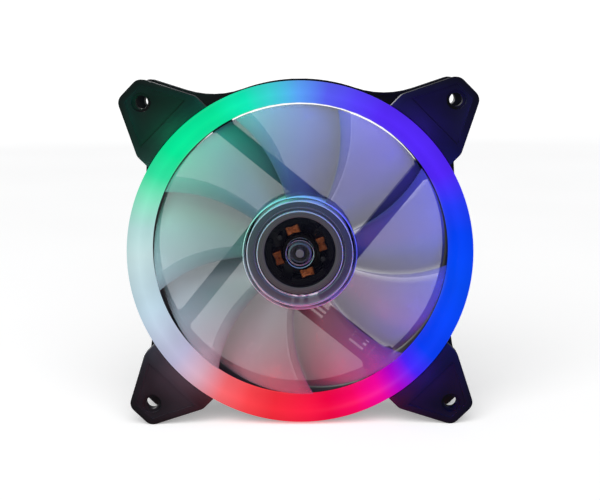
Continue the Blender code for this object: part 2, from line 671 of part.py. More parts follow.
def hub_profile():
    """The clear hub: face, rounded rim, wall, the collar for the yoke and the boss for the shaft."""
    round_points = arc(
        (HUB_RADIUS - HUB_ROUND, Y_HUB + HUB_ROUND), HUB_ROUND, 0.0, -math.pi / 2.0, 3
    )
    inside_wall = HUB_RADIUS - HUB_WALL
    collar_inner = YOKE_RADIUS + GAP
    collar_outer = collar_inner + COLLAR_WALL
    y_collar = Y_HUB_INSIDE + COLLAR_LENGTH
    y_ridge = Y_HUB - BOSS_RIDGE_HEIGHT
    groove = BOSS_RIDGE_OUTER + BOSS_GROOVE
    edge = BOSS_RIDGE_HEIGHT
    return [
        (HUB_RADIUS, Y_HUB_REAR),
        *round_points,
        (groove, Y_HUB),
        (groove, Y_HUB + edge),
        (BOSS_RIDGE_OUTER, Y_HUB + edge),
        (BOSS_RIDGE_OUTER, Y_HUB),
        (BOSS_RIDGE_OUTER - edge, y_ridge),
        (BOSS_RIDGE_INNER + edge, y_ridge),
        (BOSS_RIDGE_INNER, Y_HUB),
        (BOSS_RIDGE_INNER, Y_HUB_INSIDE),
        (BORE_RADIUS, Y_HUB_INSIDE),
        (BORE_RADIUS, Y_BOSS_END),
        (BOSS_RADIUS, Y_BOSS_END),
        (BOSS_RADIUS, Y_HUB_INSIDE),
        (collar_inner, Y_HUB_INSIDE),
        (collar_inner, y_collar),
        (collar_outer, y_collar),
        (collar_outer, Y_HUB_INSIDE),
        (inside_wall, Y_HUB_INSIDE),
        (inside_wall, Y_HUB_REAR),
    ]


def blade_grid(side):
    """Rows of points on one face of a blade. side is 1 for the face towards the rear."""
    rows = []
    for span_step in range(BLADE_SPAN_STEPS + 1):
        share = span_step / BLADE_SPAN_STEPS
        radius = BLADE_ROOT + (BLADE_TIP - BLADE_ROOT) * share
        pitch = math.atan(BLADE_LEAD / (2.0 * math.pi * radius))
        chord = BLADE_DEPTH / math.sin(pitch)
        row = []
        for chord_step in range(BLADE_CHORD_STEPS + 1):
            place = 2.0 * chord_step / BLADE_CHORD_STEPS - 1.0
            bulge = 1.0 - place * place
            thickness = BLADE_THICKNESS * (BLADE_EDGE_SHARE + (1.0 - BLADE_EDGE_SHARE) * bulge)
            across = (0.5 - bulge) * BLADE_CAMBER * chord + side * thickness / 2.0
            ahead = place * chord / 2.0
            around = ahead * math.cos(pitch) + across * math.sin(pitch)
            axial = ahead * math.sin(pitch) - across * math.cos(pitch)
            angle = around / radius + BLADE_SWEEP * share ** BLADE_SWEEP_POWER
            row.append((radius * math.cos(angle), Y_BLADE - axial, radius * math.sin(angle)))
        rows.append(row)
    return rows


def add_blade(shape, turn):
    """One blade, its root buried in the hub's wall, turned to its place."""
    faces = []
    for side in (1, -1):
        rows = []
        for row in blade_grid(side):
            verts = []
            for x, y, z in row:
                turned_x, turned_z = turn_point((x, z), turn)
                verts.append(shape.verts.new((turned_x * MM, y * MM, turned_z * MM)))
            rows.append(verts)
        faces.append(rows)
    rear, front = faces
    for row in range(BLADE_SPAN_STEPS):
        for column in range(BLADE_CHORD_STEPS):
            for rows in (rear, front):
                corners = [rows[row][column], rows[row][column + 1]]
                corners += [rows[row + 1][column + 1], rows[row + 1][column]]
                shape.faces.new(corners)
        for column in (0, BLADE_CHORD_STEPS):
            corners = [rear[row][column], rear[row + 1][column]]
            shape.faces.new(corners + [front[row + 1][column], front[row][column]])
    for row in (0, BLADE_SPAN_STEPS):
        for column in range(BLADE_CHORD_STEPS):
            corners = [rear[row][column], rear[row][column + 1]]
            shape.faces.new(corners + [front[row][column + 1], front[row][column]])


def add_impeller(material):
    """The clear moulding: the hub and its blades."""
    impeller = add_object("impeller", turned(hub_profile(), HUB_STEPS), material)
    blades = bmesh.new()
    for blade in range(BLADE_COUNT):
        add_blade(blades, 2.0 * math.pi * blade / BLADE_COUNT)
    combine(impeller, "UNION", "tool_blades", blades)


def add_rotor_metal(steel, magnet, bright, nylon):
    """The yoke with its lip, the magnet in it, the shaft, its clip and the thrust washer."""
    y_yoke_end = Y_MAGNET_END + GAP
    inner = YOKE_RADIUS - YOKE_WALL
    yoke = [
        (MAGNET_INNER, Y_YOKE), (YOKE_RADIUS, Y_YOKE), (YOKE_RADIUS, y_yoke_end),
        (inner, y_yoke_end), (inner, Y_YOKE + YOKE_LIP), (MAGNET_INNER, Y_YOKE + YOKE_LIP),
    ]
    add_object("yoke_ring", turned(yoke, HUB_STEPS), steel)
    magnet_ring = ring_profile(MAGNET_INNER, MAGNET_OUTER, Y_MAGNET, Y_MAGNET_END)
    add_object("magnet_ring", turned(magnet_ring, HUB_STEPS), magnet)
    y_start = Y_HUB + SHAFT_RECESS
    groove = SHAFT_RADIUS - CLIP_BITE - GAP
    edge = SHAFT_RADIUS - SHAFT_CHAMFER
    shaft = [
        (0.0, y_start), (edge, y_start), (SHAFT_RADIUS, y_start + SHAFT_CHAMFER),
        (SHAFT_RADIUS, Y_CLIP - GAP), (groove, Y_CLIP - GAP),
        (groove, Y_CLIP + CLIP_THICKNESS + GAP), (SHAFT_RADIUS, Y_CLIP + CLIP_THICKNESS + GAP),
        (SHAFT_RADIUS, Y_SHAFT_END - SHAFT_CHAMFER), (edge, Y_SHAFT_END), (0.0, Y_SHAFT_END),
    ]
    add_object("shaft", turned(shaft, SMALL_STEPS), bright)
    washer = ring_profile(BORE_RADIUS, WASHER_OUTER, Y_WASHER, Y_WASHER + WASHER_THICKNESS)
    add_object("thrust_washer", turned(washer, SMALL_STEPS), nylon)
    half = CLIP_OPENING / 2.0
    clip_inner = SHAFT_RADIUS - CLIP_BITE
    clip = arc((0.0, 0.0), CLIP_OUTER, half, 2.0 * math.pi - half, CLIP_STEPS)
    clip += arc((0.0, 0.0), clip_inner, 2.0 * math.pi - half, half, CLIP_STEPS)
    add_object("retaining_clip", prism(clip, Y_CLIP, Y_CLIP + CLIP_THICKNESS), nylon)


# Motor

def star_outline(hub, arm_half, shoe_inner, shoe_outer):
    """A four-armed star with curved shoes, as the core and its formers have."""
    points = []
    for pole in POLE_ANGLES:
        foot = math.asin(arm_half / hub)
        neck = math.asin(arm_half / shoe_inner)
        half = CORE_SHOE_HALF_ANGLE
        points.append(turn_point((hub, 0.0), pole - math.pi / 4.0))
        points.append(turn_point((hub, 0.0), pole - foot))
        points += arc((0.0, 0.0), shoe_inner, pole - neck, pole - half, 2)
        points += arc((0.0, 0.0), shoe_outer, pole - half, pole + half, 5)
        points += arc((0.0, 0.0), shoe_inner, pole + half, pole + neck, 2)
        points.append(turn_point((hub, 0.0), pole + foot))
    return points


def shoe_wall_outline(pole):
    """The wall that holds the wire in at a former's shoe."""
    half = CORE_SHOE_HALF_ANGLE
    inner = COIL_OUTER + GAP
    outline = arc((0.0, 0.0), STATOR_RADIUS, pole - half, pole + half, 5)
    return outline + arc((0.0, 0.0), inner, pole + half, pole - half, 5)


def add_former(name, material, y_plate, y_plate_end, y_wall_end):
    """A plastic former: a star plate against the core, with an inner and an outer wall."""
    star = star_outline(CORE_HUB, FORMER_ARM_HALF, COIL_OUTER + GAP, STATOR_RADIUS)
    former = add_object(name, prism(star, y_plate, y_plate_end), material)
    sink = (y_plate + y_plate_end) / 2.0
    hub = turned(ring_profile(STATOR_BORE, CORE_HUB, sink, y_wall_end), HUB_STEPS)
    combine(former, "DIFFERENCE", f"tool_{name}_bore", rod(STATOR_BORE, -DEPTH, DEPTH, HUB_STEPS))
    walls = hub
    for pole in POLE_ANGLES:
        add_prism(walls, shoe_wall_outline(pole), sink, y_wall_end)
    combine(former, "UNION", f"tool_{name}_walls", walls)


def add_stator(steel, black, copper, pin_metal):
    """The laminated core between two formers, with a coil on each arm."""
    core = add_object(
        "stator_core",
        prism(star_outline(CORE_HUB, CORE_ARM_HALF, CORE_SHOE_INNER, STATOR_RADIUS), Y_CORE, Y_CORE_END),
        steel,
    )
    combine(core, "DIFFERENCE", "tool_core_bore", rod(STATOR_BORE, -DEPTH, DEPTH, HUB_STEPS))
    y_front_plate = Y_CORE - GAP - FORMER_PLATE
    y_rear_plate = Y_CORE_END + GAP + FORMER_PLATE
    add_former("former_front", black, Y_CORE - GAP, y_front_plate, Y_FORMER)
    add_former("former_rear", black, Y_CORE_END + GAP, y_rear_plate, Y_FORMER_END)
    hole_half = FORMER_ARM_HALF + GAP
    coil_half = hole_half + COIL_BUILD
    for number, pole in enumerate(POLE_ANGLES, start=1):
        outer = [
            (COIL_INNER, -coil_half), (COIL_OUTER, -coil_half),
            (COIL_OUTER, coil_half), (COIL_INNER, coil_half),
        ]
        hole = [
            (COIL_INNER - BEYOND, -hole_half), (COIL_OUTER + BEYOND, -hole_half),
            (COIL_OUTER + BEYOND, hole_half), (COIL_INNER - BEYOND, hole_half),
        ]
        y_hole = y_front_plate - GAP
        y_hole_end = y_rear_plate + GAP
        body = prism([turn_point(p, pole) for p in outer], y_hole - COIL_BUILD, y_hole_end + COIL_BUILD)
        coil = add_object(f"coil_{number}", body, copper)
        bevel = coil.modifiers.new("round", "BEVEL")
        bevel.width = COIL_ROUND * MM
        bevel.segments = 2
        cut = prism([turn_point(p, pole) for p in hole], y_hole, y_hole_end)
        combine(coil, "DIFFERENCE", f"tool_coil_{number}", cut)
    for number, angle in enumerate(PIN_ANGLES, start=1):
        centre = turn_point((PIN_PLACE, 0.0), angle)
        pin = rod(PIN_RADIUS, Y_FORMER + FORMER_PLATE, Y_BOARD - GAP, SMALL_STEPS // 2, centre)
        add_object(f"winding_pin_{number}", pin, pin_metal)


def add_block(name, size, place, y_end, material):
    """A small square component standing on the motor board, in line with a radius."""
    width, height, depth = size
    radius, angle = place
    corners = [
        (radius - depth / 2.0, -width / 2.0), (radius + depth / 2.0, -width / 2.0),
        (radius + depth / 2.0, width / 2.0), (radius - depth / 2.0, width / 2.0),
    ]
    outline = [turn_point(corner, angle) for corner in corners]
    add_object(name, prism(outline, y_end - height, y_end), material)


def add_motor_board(board_material, black, bronze, label_material):
    """The motor's board and parts, the bearing, the cap behind it and the blank label."""
    board = ring_profile(STATOR_BORE, BOARD_RADIUS, Y_BOARD, Y_BOARD_BACK)
    add_object("motor_board", turned(board, HUB_STEPS), board_material)
    add_block("hall_sensor", SENSOR_SIZE, SENSOR_PLACE, Y_BOARD - GAP, black)
    add_block("driver_chip", CHIP_SIZE, CHIP_PLACE, Y_BOARD - GAP, black)
    bearing = ring_profile(BORE_RADIUS, BEARING_RADIUS, Y_TUBE, Y_TUBE + BEARING_LENGTH)
    add_object("sleeve_bearing", turned(bearing, SMALL_STEPS), bronze)
    y_cap_end = Y_REAR - LABEL_SINK - CAP_SINK
    add_object("bearing_cap", rod(BEARING_RADIUS, y_cap_end - CAP_THICKNESS, y_cap_end, SMALL_STEPS), black)
    y_label = Y_REAR - LABEL_SINK + GAP
    add_object("rear_label", rod(LABEL_RADIUS, y_label, y_label + LABEL_THICKNESS, HUB_STEPS), label_material)


# Leads

def wire_route(off):
    """The lead's centre line as (x, y, z): along the channel, forward at the rim and out."""
    plate_end = DUCT_RADIUS - CABLE_PLATE_END
    duct_along = along_at(DUCT_RADIUS, off)
    rise_start = plate_end + WIRE_RADIUS
    rise_end = duct_along + WIRE_RISE_PAST
    end = grommet_face() + GROMMET_LIP + WIRE_EXIT_LENGTH
    route = [(WIRE_START, Y_WIRE), (CABLE_PLATE_START, Y_WIRE), (tab_place(), Y_WIRE)]
    for step in range(WIRE_RISE_STEPS + 1):
        share = step / WIRE_RISE_STEPS
        eased = share * share * (3.0 - 2.0 * share)
        along = rise_start + (rise_end - rise_start) * share
        route.append((along, Y_WIRE + (Y_WIRE_EXIT - Y_WIRE) * eased))
    route.append((end, Y_WIRE_EXIT))
    points = []
    for along, y in route:
        x, z = spoke_point(along, off)
        points.append((x * MM, y * MM, z * MM))
    return points


def tab_place():
    """How far along the cable spoke the middle of the retaining tab is."""
    return DUCT_RADIUS - TAB_START


def grommet_face():
    """How far along the cable spoke the grommet's lip starts, clear of the duct's round outside."""
    return along_at(DUCT_OUTER, CHANNEL_OFF - GROMMET_LIP_EXTRA) + GAP


def add_wires(material):
    """The two leads that the cable spoke holds, from the motor board to the outside of the duct."""
    for number, off in enumerate(WIRE_OFFS, start=1):
        curve = bpy.data.curves.new(f"lead_wire_{number}", "CURVE")
        curve.dimensions = "3D"
        curve.bevel_depth = WIRE_RADIUS * MM
        curve.bevel_resolution = 2
        curve.use_fill_caps = True
        route = wire_route(off)
        spline = curve.splines.new("POLY")
        spline.points.add(len(route) - 1)
        for point, place in zip(spline.points, route):
            point.co = (*place, 1.0)
        curve.materials.append(material)
        wire = bpy.data.objects.new(f"lead_wire_{number}", curve)
        bpy.context.scene.collection.objects.link(wire)


def add_grommet(material):
    """The soft bush in the duct's window, with a hole for each lead."""
    start = along_at(DUCT_RADIUS, RAIL_OFF - GAP) + GROMMET_SINK
    face = grommet_face()
    body = prism(
        spoke_box(start, face + GROMMET_LIP / 2.0, CHANNEL_OFF + GAP, RAIL_OFF - GAP),
        Y_WINDOW + GAP, Y_WINDOW_BACK - GAP,
    )
    grommet = add_object("cable_grommet", body, material)
    lip = spoke_box(face, face + GROMMET_LIP, CHANNEL_OFF - GROMMET_LIP_EXTRA, RAIL_OFF + GROMMET_LIP_EXTRA)
    combine(
        grommet, "UNION", "tool_grommet_lip",
        prism(lip, Y_WINDOW - GROMMET_LIP_EXTRA, Y_WINDOW_BACK - GAP / 2.0),
    )
    for number, off in enumerate(WIRE_OFFS, start=1):
        bore = bmesh.new()
        add_turned(bore, wire_hole_profile(), SMALL_STEPS // 2)
        bmesh.ops.rotate(bore, verts=bore.verts, cent=(0.0, 0.0, 0.0), matrix=spoke_turn())
        x, z = spoke_point(start, off)
        bmesh.ops.translate(bore, verts=bore.verts, vec=(x * MM, Y_WIRE_EXIT * MM, z * MM))
        combine(grommet, "DIFFERENCE", f"tool_grommet_bore_{number}", bore)


def wire_hole_profile():
    """The hole for one lead through the grommet, from its inner end outward."""
    hole = WIRE_RADIUS + GAP
    return [(0.0, -BEYOND), (hole, -BEYOND), (hole, GROMMET_LENGTH), (0.0, GROMMET_LENGTH)]


def spoke_turn():
    """The rotation that lays the fan's axis along the cable spoke."""
    outward = Matrix.Rotation(-math.pi / 2.0, 3, "Z")
    return Matrix.Rotation(-SPOKE_ANGLE, 3, "Y") @ outward


def main():
    clear_scene()
    black = make_material("black_abs", (0.012, 0.012, 0.014), 0.45)
    milky = make_material("milky_polycarbonate", (0.75, 0.85, 0.95), 0.4)
    clear = make_material("clear_polycarbonate", (0.85, 0.87, 0.9), 0.08, alpha=0.35)
    board = make_material("board_laminate", (0.02, 0.06, 0.04), 0.5)
    lamp = make_material("lamp_package", (0.9, 0.88, 0.8), 0.4)
    steel = make_material("zinc_plated_steel", (0.35, 0.34, 0.34), 0.35, metallic=1.0)
    ferrite = make_material("bonded_ferrite", (0.03, 0.03, 0.032), 0.6)
    bronze = make_material("sintered_bronze", (0.5, 0.33, 0.16), 0.45, metallic=1.0)
    bright = make_material("ground_steel", (0.6, 0.6, 0.62), 0.15, metallic=1.0)
    copper = make_material("enamelled_copper", (0.6, 0.22, 0.06), 0.3, metallic=1.0)
    nylon = make_material("natural_nylon", (0.75, 0.73, 0.66), 0.5)
    rubber = make_material("black_rubber", (0.015, 0.015, 0.015), 0.8)
    sleeve = make_material("black_wire_sleeve", (0.02, 0.02, 0.022), 0.5)
    paper = make_material("label_film", (0.75, 0.76, 0.78), 0.4)
    add_frame(black)
    add_diffuser(milky)
    add_lamps(board, lamp)
    add_impeller(clear)
    add_rotor_metal(steel, ferrite, bright, nylon)
    add_stator(steel, black, copper, bright)
    add_motor_board(board, black, bronze, paper)
    add_wires(sleeve)
    add_grommet(rubber)


main()
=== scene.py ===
"""Case fan with a clear impeller and a ring of coloured light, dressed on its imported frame.

The fan's axis is world Y: air enters at -Y, where the lit ring is, and leaves at +Y past the
spokes. Z is up and the origin is the middle of the 120 x 25 x 120 mm body. Sizes in the classes
are in millimetres and the meshes are in metres.
"""

from __future__ import annotations

import logging
import math
from dataclasses import dataclass
from enum import Enum
from functools import partial
from typing import Any, Callable

import bpy
from mathutils import Matrix, Vector

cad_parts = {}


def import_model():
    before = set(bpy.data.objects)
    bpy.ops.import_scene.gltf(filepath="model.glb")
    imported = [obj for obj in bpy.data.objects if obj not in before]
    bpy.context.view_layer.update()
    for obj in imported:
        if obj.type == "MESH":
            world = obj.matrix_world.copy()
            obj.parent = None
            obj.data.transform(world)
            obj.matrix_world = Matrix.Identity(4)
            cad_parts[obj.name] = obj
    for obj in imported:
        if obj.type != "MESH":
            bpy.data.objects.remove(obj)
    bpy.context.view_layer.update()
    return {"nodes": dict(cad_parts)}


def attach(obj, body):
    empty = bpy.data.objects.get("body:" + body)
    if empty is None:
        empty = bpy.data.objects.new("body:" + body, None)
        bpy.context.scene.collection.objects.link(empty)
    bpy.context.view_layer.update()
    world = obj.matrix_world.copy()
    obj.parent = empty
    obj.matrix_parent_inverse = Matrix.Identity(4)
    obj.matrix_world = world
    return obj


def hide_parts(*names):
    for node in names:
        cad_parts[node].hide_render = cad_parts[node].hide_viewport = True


MM = 0.001
TURN = 2.0 * math.pi
MERGE = 1e-6
SMOOTH = math.radians(40.0)
WIRE_SMOOTH = math.radians(60.0)
FLAT = math.radians(1.0)
EDGE_SEGMENTS = 2
CAD_SHARP = 35.0
LOG = logging.getLogger("case_fan")

# The part of a noise's range that its value seldom leaves
MIDDLE = (0.3, 0.7)
# The sockets of a Mix node that mixes colours, and its setting for that
SHARE, FIRST, SECOND, MIXED = 0, 6, 7, 2
IN_COLOUR = {"data_type": "RGBA"}

Point = tuple[float, float]
Place = tuple[float, float, float]
Colour = tuple[float, float, float, float]
Tree = bpy.types.NodeTree
Socket = bpy.types.NodeSocket
Piece = bpy.types.Object
Inputs = dict[Any, Any] | tuple[Any, ...]
Adder = Callable[..., Socket]


class Body(Enum):
    """The two bodies of the fan's one joint."""

    HOUSING = "housing"
    ROTOR = "rotor"


class Slot(Enum):
    """The record's material slots."""

    ABS = "black_abs"
    DIFFUSER = "milky_polycarbonate"
    CLEAR = "clear_polycarbonate"
    LAMINATE = "board_laminate"
    LAMP = "lamp_package"
    YOKE = "yoke_steel"
    CORE = "core_steel"
    GROUND = "ground_steel"
    PIN = "tinned_pin"
    FERRITE = "bonded_ferrite"
    BRONZE = "sintered_bronze"
    COPPER = "enamelled_copper"
    NYLON_BLACK = "black_nylon"
    NYLON = "natural_nylon"
    EPOXY = "chip_epoxy"
    SLEEVE = "wire_sleeve"
    RUBBER = "black_rubber"
    LABEL = "label_film"


# The ring's colours: clockwise from twelve o'clock in degrees, and the colour that shows
RING_COLOURS: tuple[tuple[float, str], ...] = (
    (0.0, "#5CA6FB"), (10.0, "#5C62FD"), (20.0, "#5842FF"), (30.0, "#582CFF"),
    (60.0, "#5526FF"), (72.0, "#233DFF"), (82.0, "#0044FE"), (100.0, "#004CFD"),
    (128.0, "#0440FF"), (136.0, "#4824FF"), (143.0, "#B400D8"), (150.0, "#FF01A4"),
    (160.0, "#FF0165"), (170.0, "#FF0147"), (190.0, "#FF2C3E"), (200.0, "#FF464E"),
    (210.0, "#FF6D73"), (220.0, "#DCAEC0"), (230.0, "#C1BEDD"), (250.0, "#C4DDEC"),
    (270.0, "#C8E3E5"), (280.0, "#BCE5E3"), (290.0, "#8EEAC9"), (300.0, "#33EDA9"),
    (310.0, "#01ED9B"), (330.0, "#02F0A2"), (342.0, "#0CEFBC"), (350.0, "#3DDFDF"),
    (360.0, "#5CA6FB"),
)


def linear(code: str) -> Colour:
    """Turns an sRGB hex code into the linear colour that Blender mixes with.

    Args:
        code: A colour such as "#1A2B3C".

    Returns:
        Red, green, blue and an alpha of 1.
    """
    channels = [int(code[start:start + 2], 16) / 255.0 for start in (1, 3, 5)]
    red, green, blue = (
        value / 12.92 if value <= 0.04045 else ((value + 0.055) / 1.055) ** 2.4
        for value in channels
    )
    return red, green, blue, 1.0


def fill_inputs(tree: Tree, node: bpy.types.Node, values: Inputs) -> None:
    """Sets or links the inputs of a node.

    Args:
        tree: The material's node tree.
        node: The node.
        values: A socket to link or a value to set, for each input by name or number, or for
            the first ones in order.
    """
    for name, value in values.items() if isinstance(values, dict) else enumerate(values):
        if isinstance(value, bpy.types.NodeSocket):
            tree.links.new(value, node.inputs[name])
        else:
            node.inputs[name].default_value = value


def add_node(tree: Tree, kind: str, values: Inputs = (), output: int | str = 0,
             **settings: Any) -> Socket:
    """Adds a node, with its settings, input values and links.

    Args:
        tree: The material's node tree.
        kind: The node's type, without its leading ShaderNode.
        values: What its inputs get, as fill_inputs takes it.
        output: The output that is wanted, by name or number.
        **settings: The node's own properties.

    Returns:
        That output.
    """
    node = tree.nodes.new(f"ShaderNode{kind}")
    for name, setting in settings.items():
        setattr(node, name, setting)
    fill_inputs(tree, node, values)
    return node.outputs[output]


def per_metre(size_mm: float) -> float:
    """The scale that makes a noise or cell pattern repeat about every size_mm millimetres."""
    return 1.0 / (size_mm * MM)


def around_and_out(add: Adder, where: Socket) -> tuple[Socket, Socket]:
    """The clockwise share of a turn from twelve o'clock, and the radius in metres.

    Args:
        add: Adds a node to the material.
        where: The piece's own coordinates.

    Returns:
        The share from 0 to 1, and the radius.
    """
    x, z = (add("SeparateXYZ", (where,), axis) for axis in "XZ")
    angle = add("Math", (x, z), operation="ARCTAN2")
    turns = add("Math", (angle, TURN), operation="DIVIDE")
    share = add("Math", (turns, 1.0, 0.0), operation="WRAP")
    flat = add("CombineXYZ", {"X": x, "Z": z})
    return share, add("VectorMath", (flat,), "Value", operation="LENGTH")


@dataclass(frozen=True)
class Finish:
    """A real material and how its surface was made."""

    name: str

    def inputs(self, add: Adder, where: Socket) -> dict[str, Any]:
        """What the shader's inputs get.

        Args:
            add: Adds a node to the material.
            where: The piece's own coordinates, in metres in the fan's frame.

        Returns:
            A socket or a value for each input.
        """
        raise NotImplementedError

    def make(self) -> bpy.types.Material:
        """Builds the material."""
        material = bpy.data.materials.new(self.name)
        material.use_nodes = True
        tree = material.node_tree
        add = partial(add_node, tree)
        where = add("TexCoord", output="Object")
        fill_inputs(tree, tree.nodes["Principled BSDF"], self.inputs(add, where))
        return material


@dataclass(frozen=True)
class MouldedPlastic(Finish):
    """A thermoplastic as it leaves a spark-eroded mould: satin, finely grained, paler at edges.

    The grain breaks up the shine, a slow drift in it comes from the flow of the plastic, and
    edges are painted paler: partly wear where handling has polished them, partly painted
    highlight.
    """

    colour: str
    pale_and_edge_highlight_colour: str
    roughness: float
    grain_mm: float = 0.35
    grain_depth_mm: float = 0.012
    ior: float = 1.53
    specular: float = 0.5
    flow_mm: float = 14.0
    flow_share: float = 0.35
    # How far edges are painted pale: wear and a painted highlight
    edge_share: float = 0.6

    def inputs(self, add: Adder, where: Socket) -> dict[str, Any]:
        """What the shader's inputs get, as Finish says."""
        flow, grain = (add("TexNoise", {"Vector": where, "Scale": per_metre(size), "Detail": 3.0})
                       for size in (self.flow_mm, self.grain_mm))
        # Convex edges, found by pointiness, are painted paler: wear plus a painted highlight
        bend = add("NewGeometry", output="Pointiness")
        edges = add("MapRange", (bend, 0.52, 0.62, 0.0, self.edge_share))
        drift = add("MapRange", (flow, *MIDDLE, 0.0, self.flow_share))
        body = add("Mix", {SHARE: drift, FIRST: linear(self.colour),
                           SECOND: linear(self.pale_and_edge_highlight_colour)}, MIXED, **IN_COLOUR)
        return {
            "Base Color": add("Mix", {SHARE: edges, FIRST: body, SECOND: linear(self.pale_and_edge_highlight_colour)},
                              MIXED, **IN_COLOUR),
            "Roughness": add("MapRange", (flow, *MIDDLE, self.roughness - 0.05,
                                          self.roughness + 0.07)),
            "Normal": add("Bump", {"Height": grain, "Strength": 1.0,
                                   "Distance": self.grain_depth_mm * MM}),
            "IOR": self.ior,
            "Specular IOR Level": self.specular,
        }


@dataclass(frozen=True)
class LitDiffuser(Finish):
    """Milky polycarbonate lit from behind: even colour that changes slowly round the ring.

    The wall scatters the lamps' light, so it glows a little more at mid width than at its
    edges, with faint lumps over the lamps, and the surface keeps a soft gloss.
    """

    strength: float = 0.93
    throat_mm: float = 51.7
    middle_mm: float = 55.2
    edge_mm: float = 59.2
    lamp_count: int = 16
    cloud_mm: float = 9.0
    gloss_mm: float = 0.5
    gloss_depth_mm: float = 0.004

    def inputs(self, add: Adder, where: Socket) -> dict[str, Any]:
        """What the shader's inputs get, as Finish says."""
        share, radius = around_and_out(add, where)
        lit = add("ValToRGB", (share,))
        stops = lit.node.color_ramp.elements
        stops[0].position, stops[0].color = 0.0, linear(RING_COLOURS[0][1])
        stops[1].position, stops[1].color = 1.0, linear(RING_COLOURS[-1][1])
        for degrees, code in RING_COLOURS[1:-1]:
            stops.new(degrees / 360.0).color = linear(code)
        throat, middle, edge = (size * MM for size in
                                (self.throat_mm, self.middle_mm, self.edge_mm))
        wave = add("Math", (share, TURN * self.lamp_count), operation="MULTIPLY")
        lumps = add("Math", (wave,), operation="COSINE")
        cloud, gloss = (add("TexNoise", {"Vector": where, "Scale": per_metre(size)})
                        for size in (self.cloud_mm, self.gloss_mm))
        total = add("MapRange", (radius, throat, middle, 0.86, 1.0))
        for factor in (
            add("MapRange", (radius, middle, edge, 1.0, 0.84)),
            add("MapRange", (lumps, -1.0, 1.0, 0.965, 1.035)),
            add("MapRange", (cloud, *MIDDLE, 0.97, 1.03)),
            self.strength,
        ):
            total = add("Math", (total, factor), operation="MULTIPLY")
        # The milky wall's base colour is painted with the lamps' colours, dimmed: painted light
        # from the lamps behind it
        dimmed = add("MapRange", (share, 0.0, 1.0, 0.87, 0.9))
        return {
            "Base Color": add("Mix", {SHARE: dimmed, FIRST: lit, SECOND: linear("#000000")},
                              MIXED, **IN_COLOUR),
            "Emission Color": lit,
            "Emission Strength": total,
            "Roughness": 0.34,
            "IOR": 1.585,
            "Specular IOR Level": 0.12,
            "Normal": add("Bump", {"Height": gloss, "Strength": 1.0,
                                   "Distance": self.gloss_depth_mm * MM}),
        }


@dataclass(frozen=True)
class RimHighlight:
    """A narrow circle painted bright and denser: a painted highlight where a corner of clear
    plastic gathers light.
    """

    radius_mm: float
    half_width_mm: float
    alpha: float


@dataclass(frozen=True)
class ClearPlastic(Finish):
    """Polycarbonate from a polished mould: clear, faintly smoky, and denser seen edge on.

    Thin walls let light through face on. Steep walls look denser, and circles where corners
    gather light are painted bright and denser, as painted highlights. A blade thins towards its
    two edges and clears there.
    """

    colour: str
    cloud_colour: str
    face_alpha: float
    edge_alpha: float
    roughness: float
    ior: float = 1.585
    specular: float = 0.35
    rim_highlights: tuple[RimHighlight, ...] = ()
    thin_edges: bool = False
    clear_middle: bool = False
    cloud_mm: float = 16.0
    middle_mm: tuple[float, float] = (5.5, 14.0)
    rim_highlight_colour: str = "#E6E9F0"

    def thinning(self, add: Adder) -> Socket:
        """One over the middle of a blade, falling towards its leading and trailing edges.

        Args:
            add: Adds a node to the material.

        Returns:
            The share of the full density.
        """
        along = add("SeparateXYZ", (add("UVMap"),))
        across = add("Math", (along, 0.5), operation="SUBTRACT")
        outward = add("Math", (across,), operation="ABSOLUTE")
        return add("MapRange", (outward, 0.38, 0.5, 1.0, 0.5))

    def inputs(self, add: Adder, where: Socket) -> dict[str, Any]:
        """What the shader's inputs get, as Finish says."""
        _, radius = around_and_out(add, where)
        steep = add("LayerWeight", {"Blend": 0.35}, "Facing")
        density = add("MapRange", (steep, 0.2, 0.9, self.face_alpha, self.edge_alpha))
        if self.thin_edges:
            density = add("Math", (density, self.thinning(add)), operation="MULTIPLY")
        if self.clear_middle:
            start, end = self.middle_mm
            middle = add("MapRange", (radius, start * MM, end * MM, 0.3, 1.0))
            density = add("Math", (density, middle), operation="MULTIPLY")
        cloud = add("TexNoise", {"Vector": where, "Scale": per_metre(self.cloud_mm),
                                 "Detail": 1.0})
        share = add("MapRange", (cloud, 0.1, 0.9, 0.0, 1.0))
        colour = add("Mix", {SHARE: share, FIRST: linear(self.colour),
                             SECOND: linear(self.cloud_colour)}, MIXED, **IN_COLOUR)
        # Painted highlights: each rim circle is made denser and painted near white
        for rim in self.rim_highlights:
            near = add("Math", (radius, rim.radius_mm * MM, rim.half_width_mm * MM),
                       operation="COMPARE")
            density = add("Math", (near, rim.alpha, density),
                          operation="MULTIPLY_ADD", use_clamp=True)
            colour = add("Mix", {SHARE: near, FIRST: colour,
                                 SECOND: linear(self.rim_highlight_colour)}, MIXED, **IN_COLOUR)
        return {
            "Base Color": colour,
            "Alpha": density,
            "Roughness": self.roughness,
            "IOR": self.ior,
            "Specular IOR Level": self.specular,
        }


class Lay(Enum):
    """How the marks of machining lie on a metal."""

    TURNED = "turned"
    ROLLED = "rolled"
    STACKED = "stacked"
    MATT = "matt"


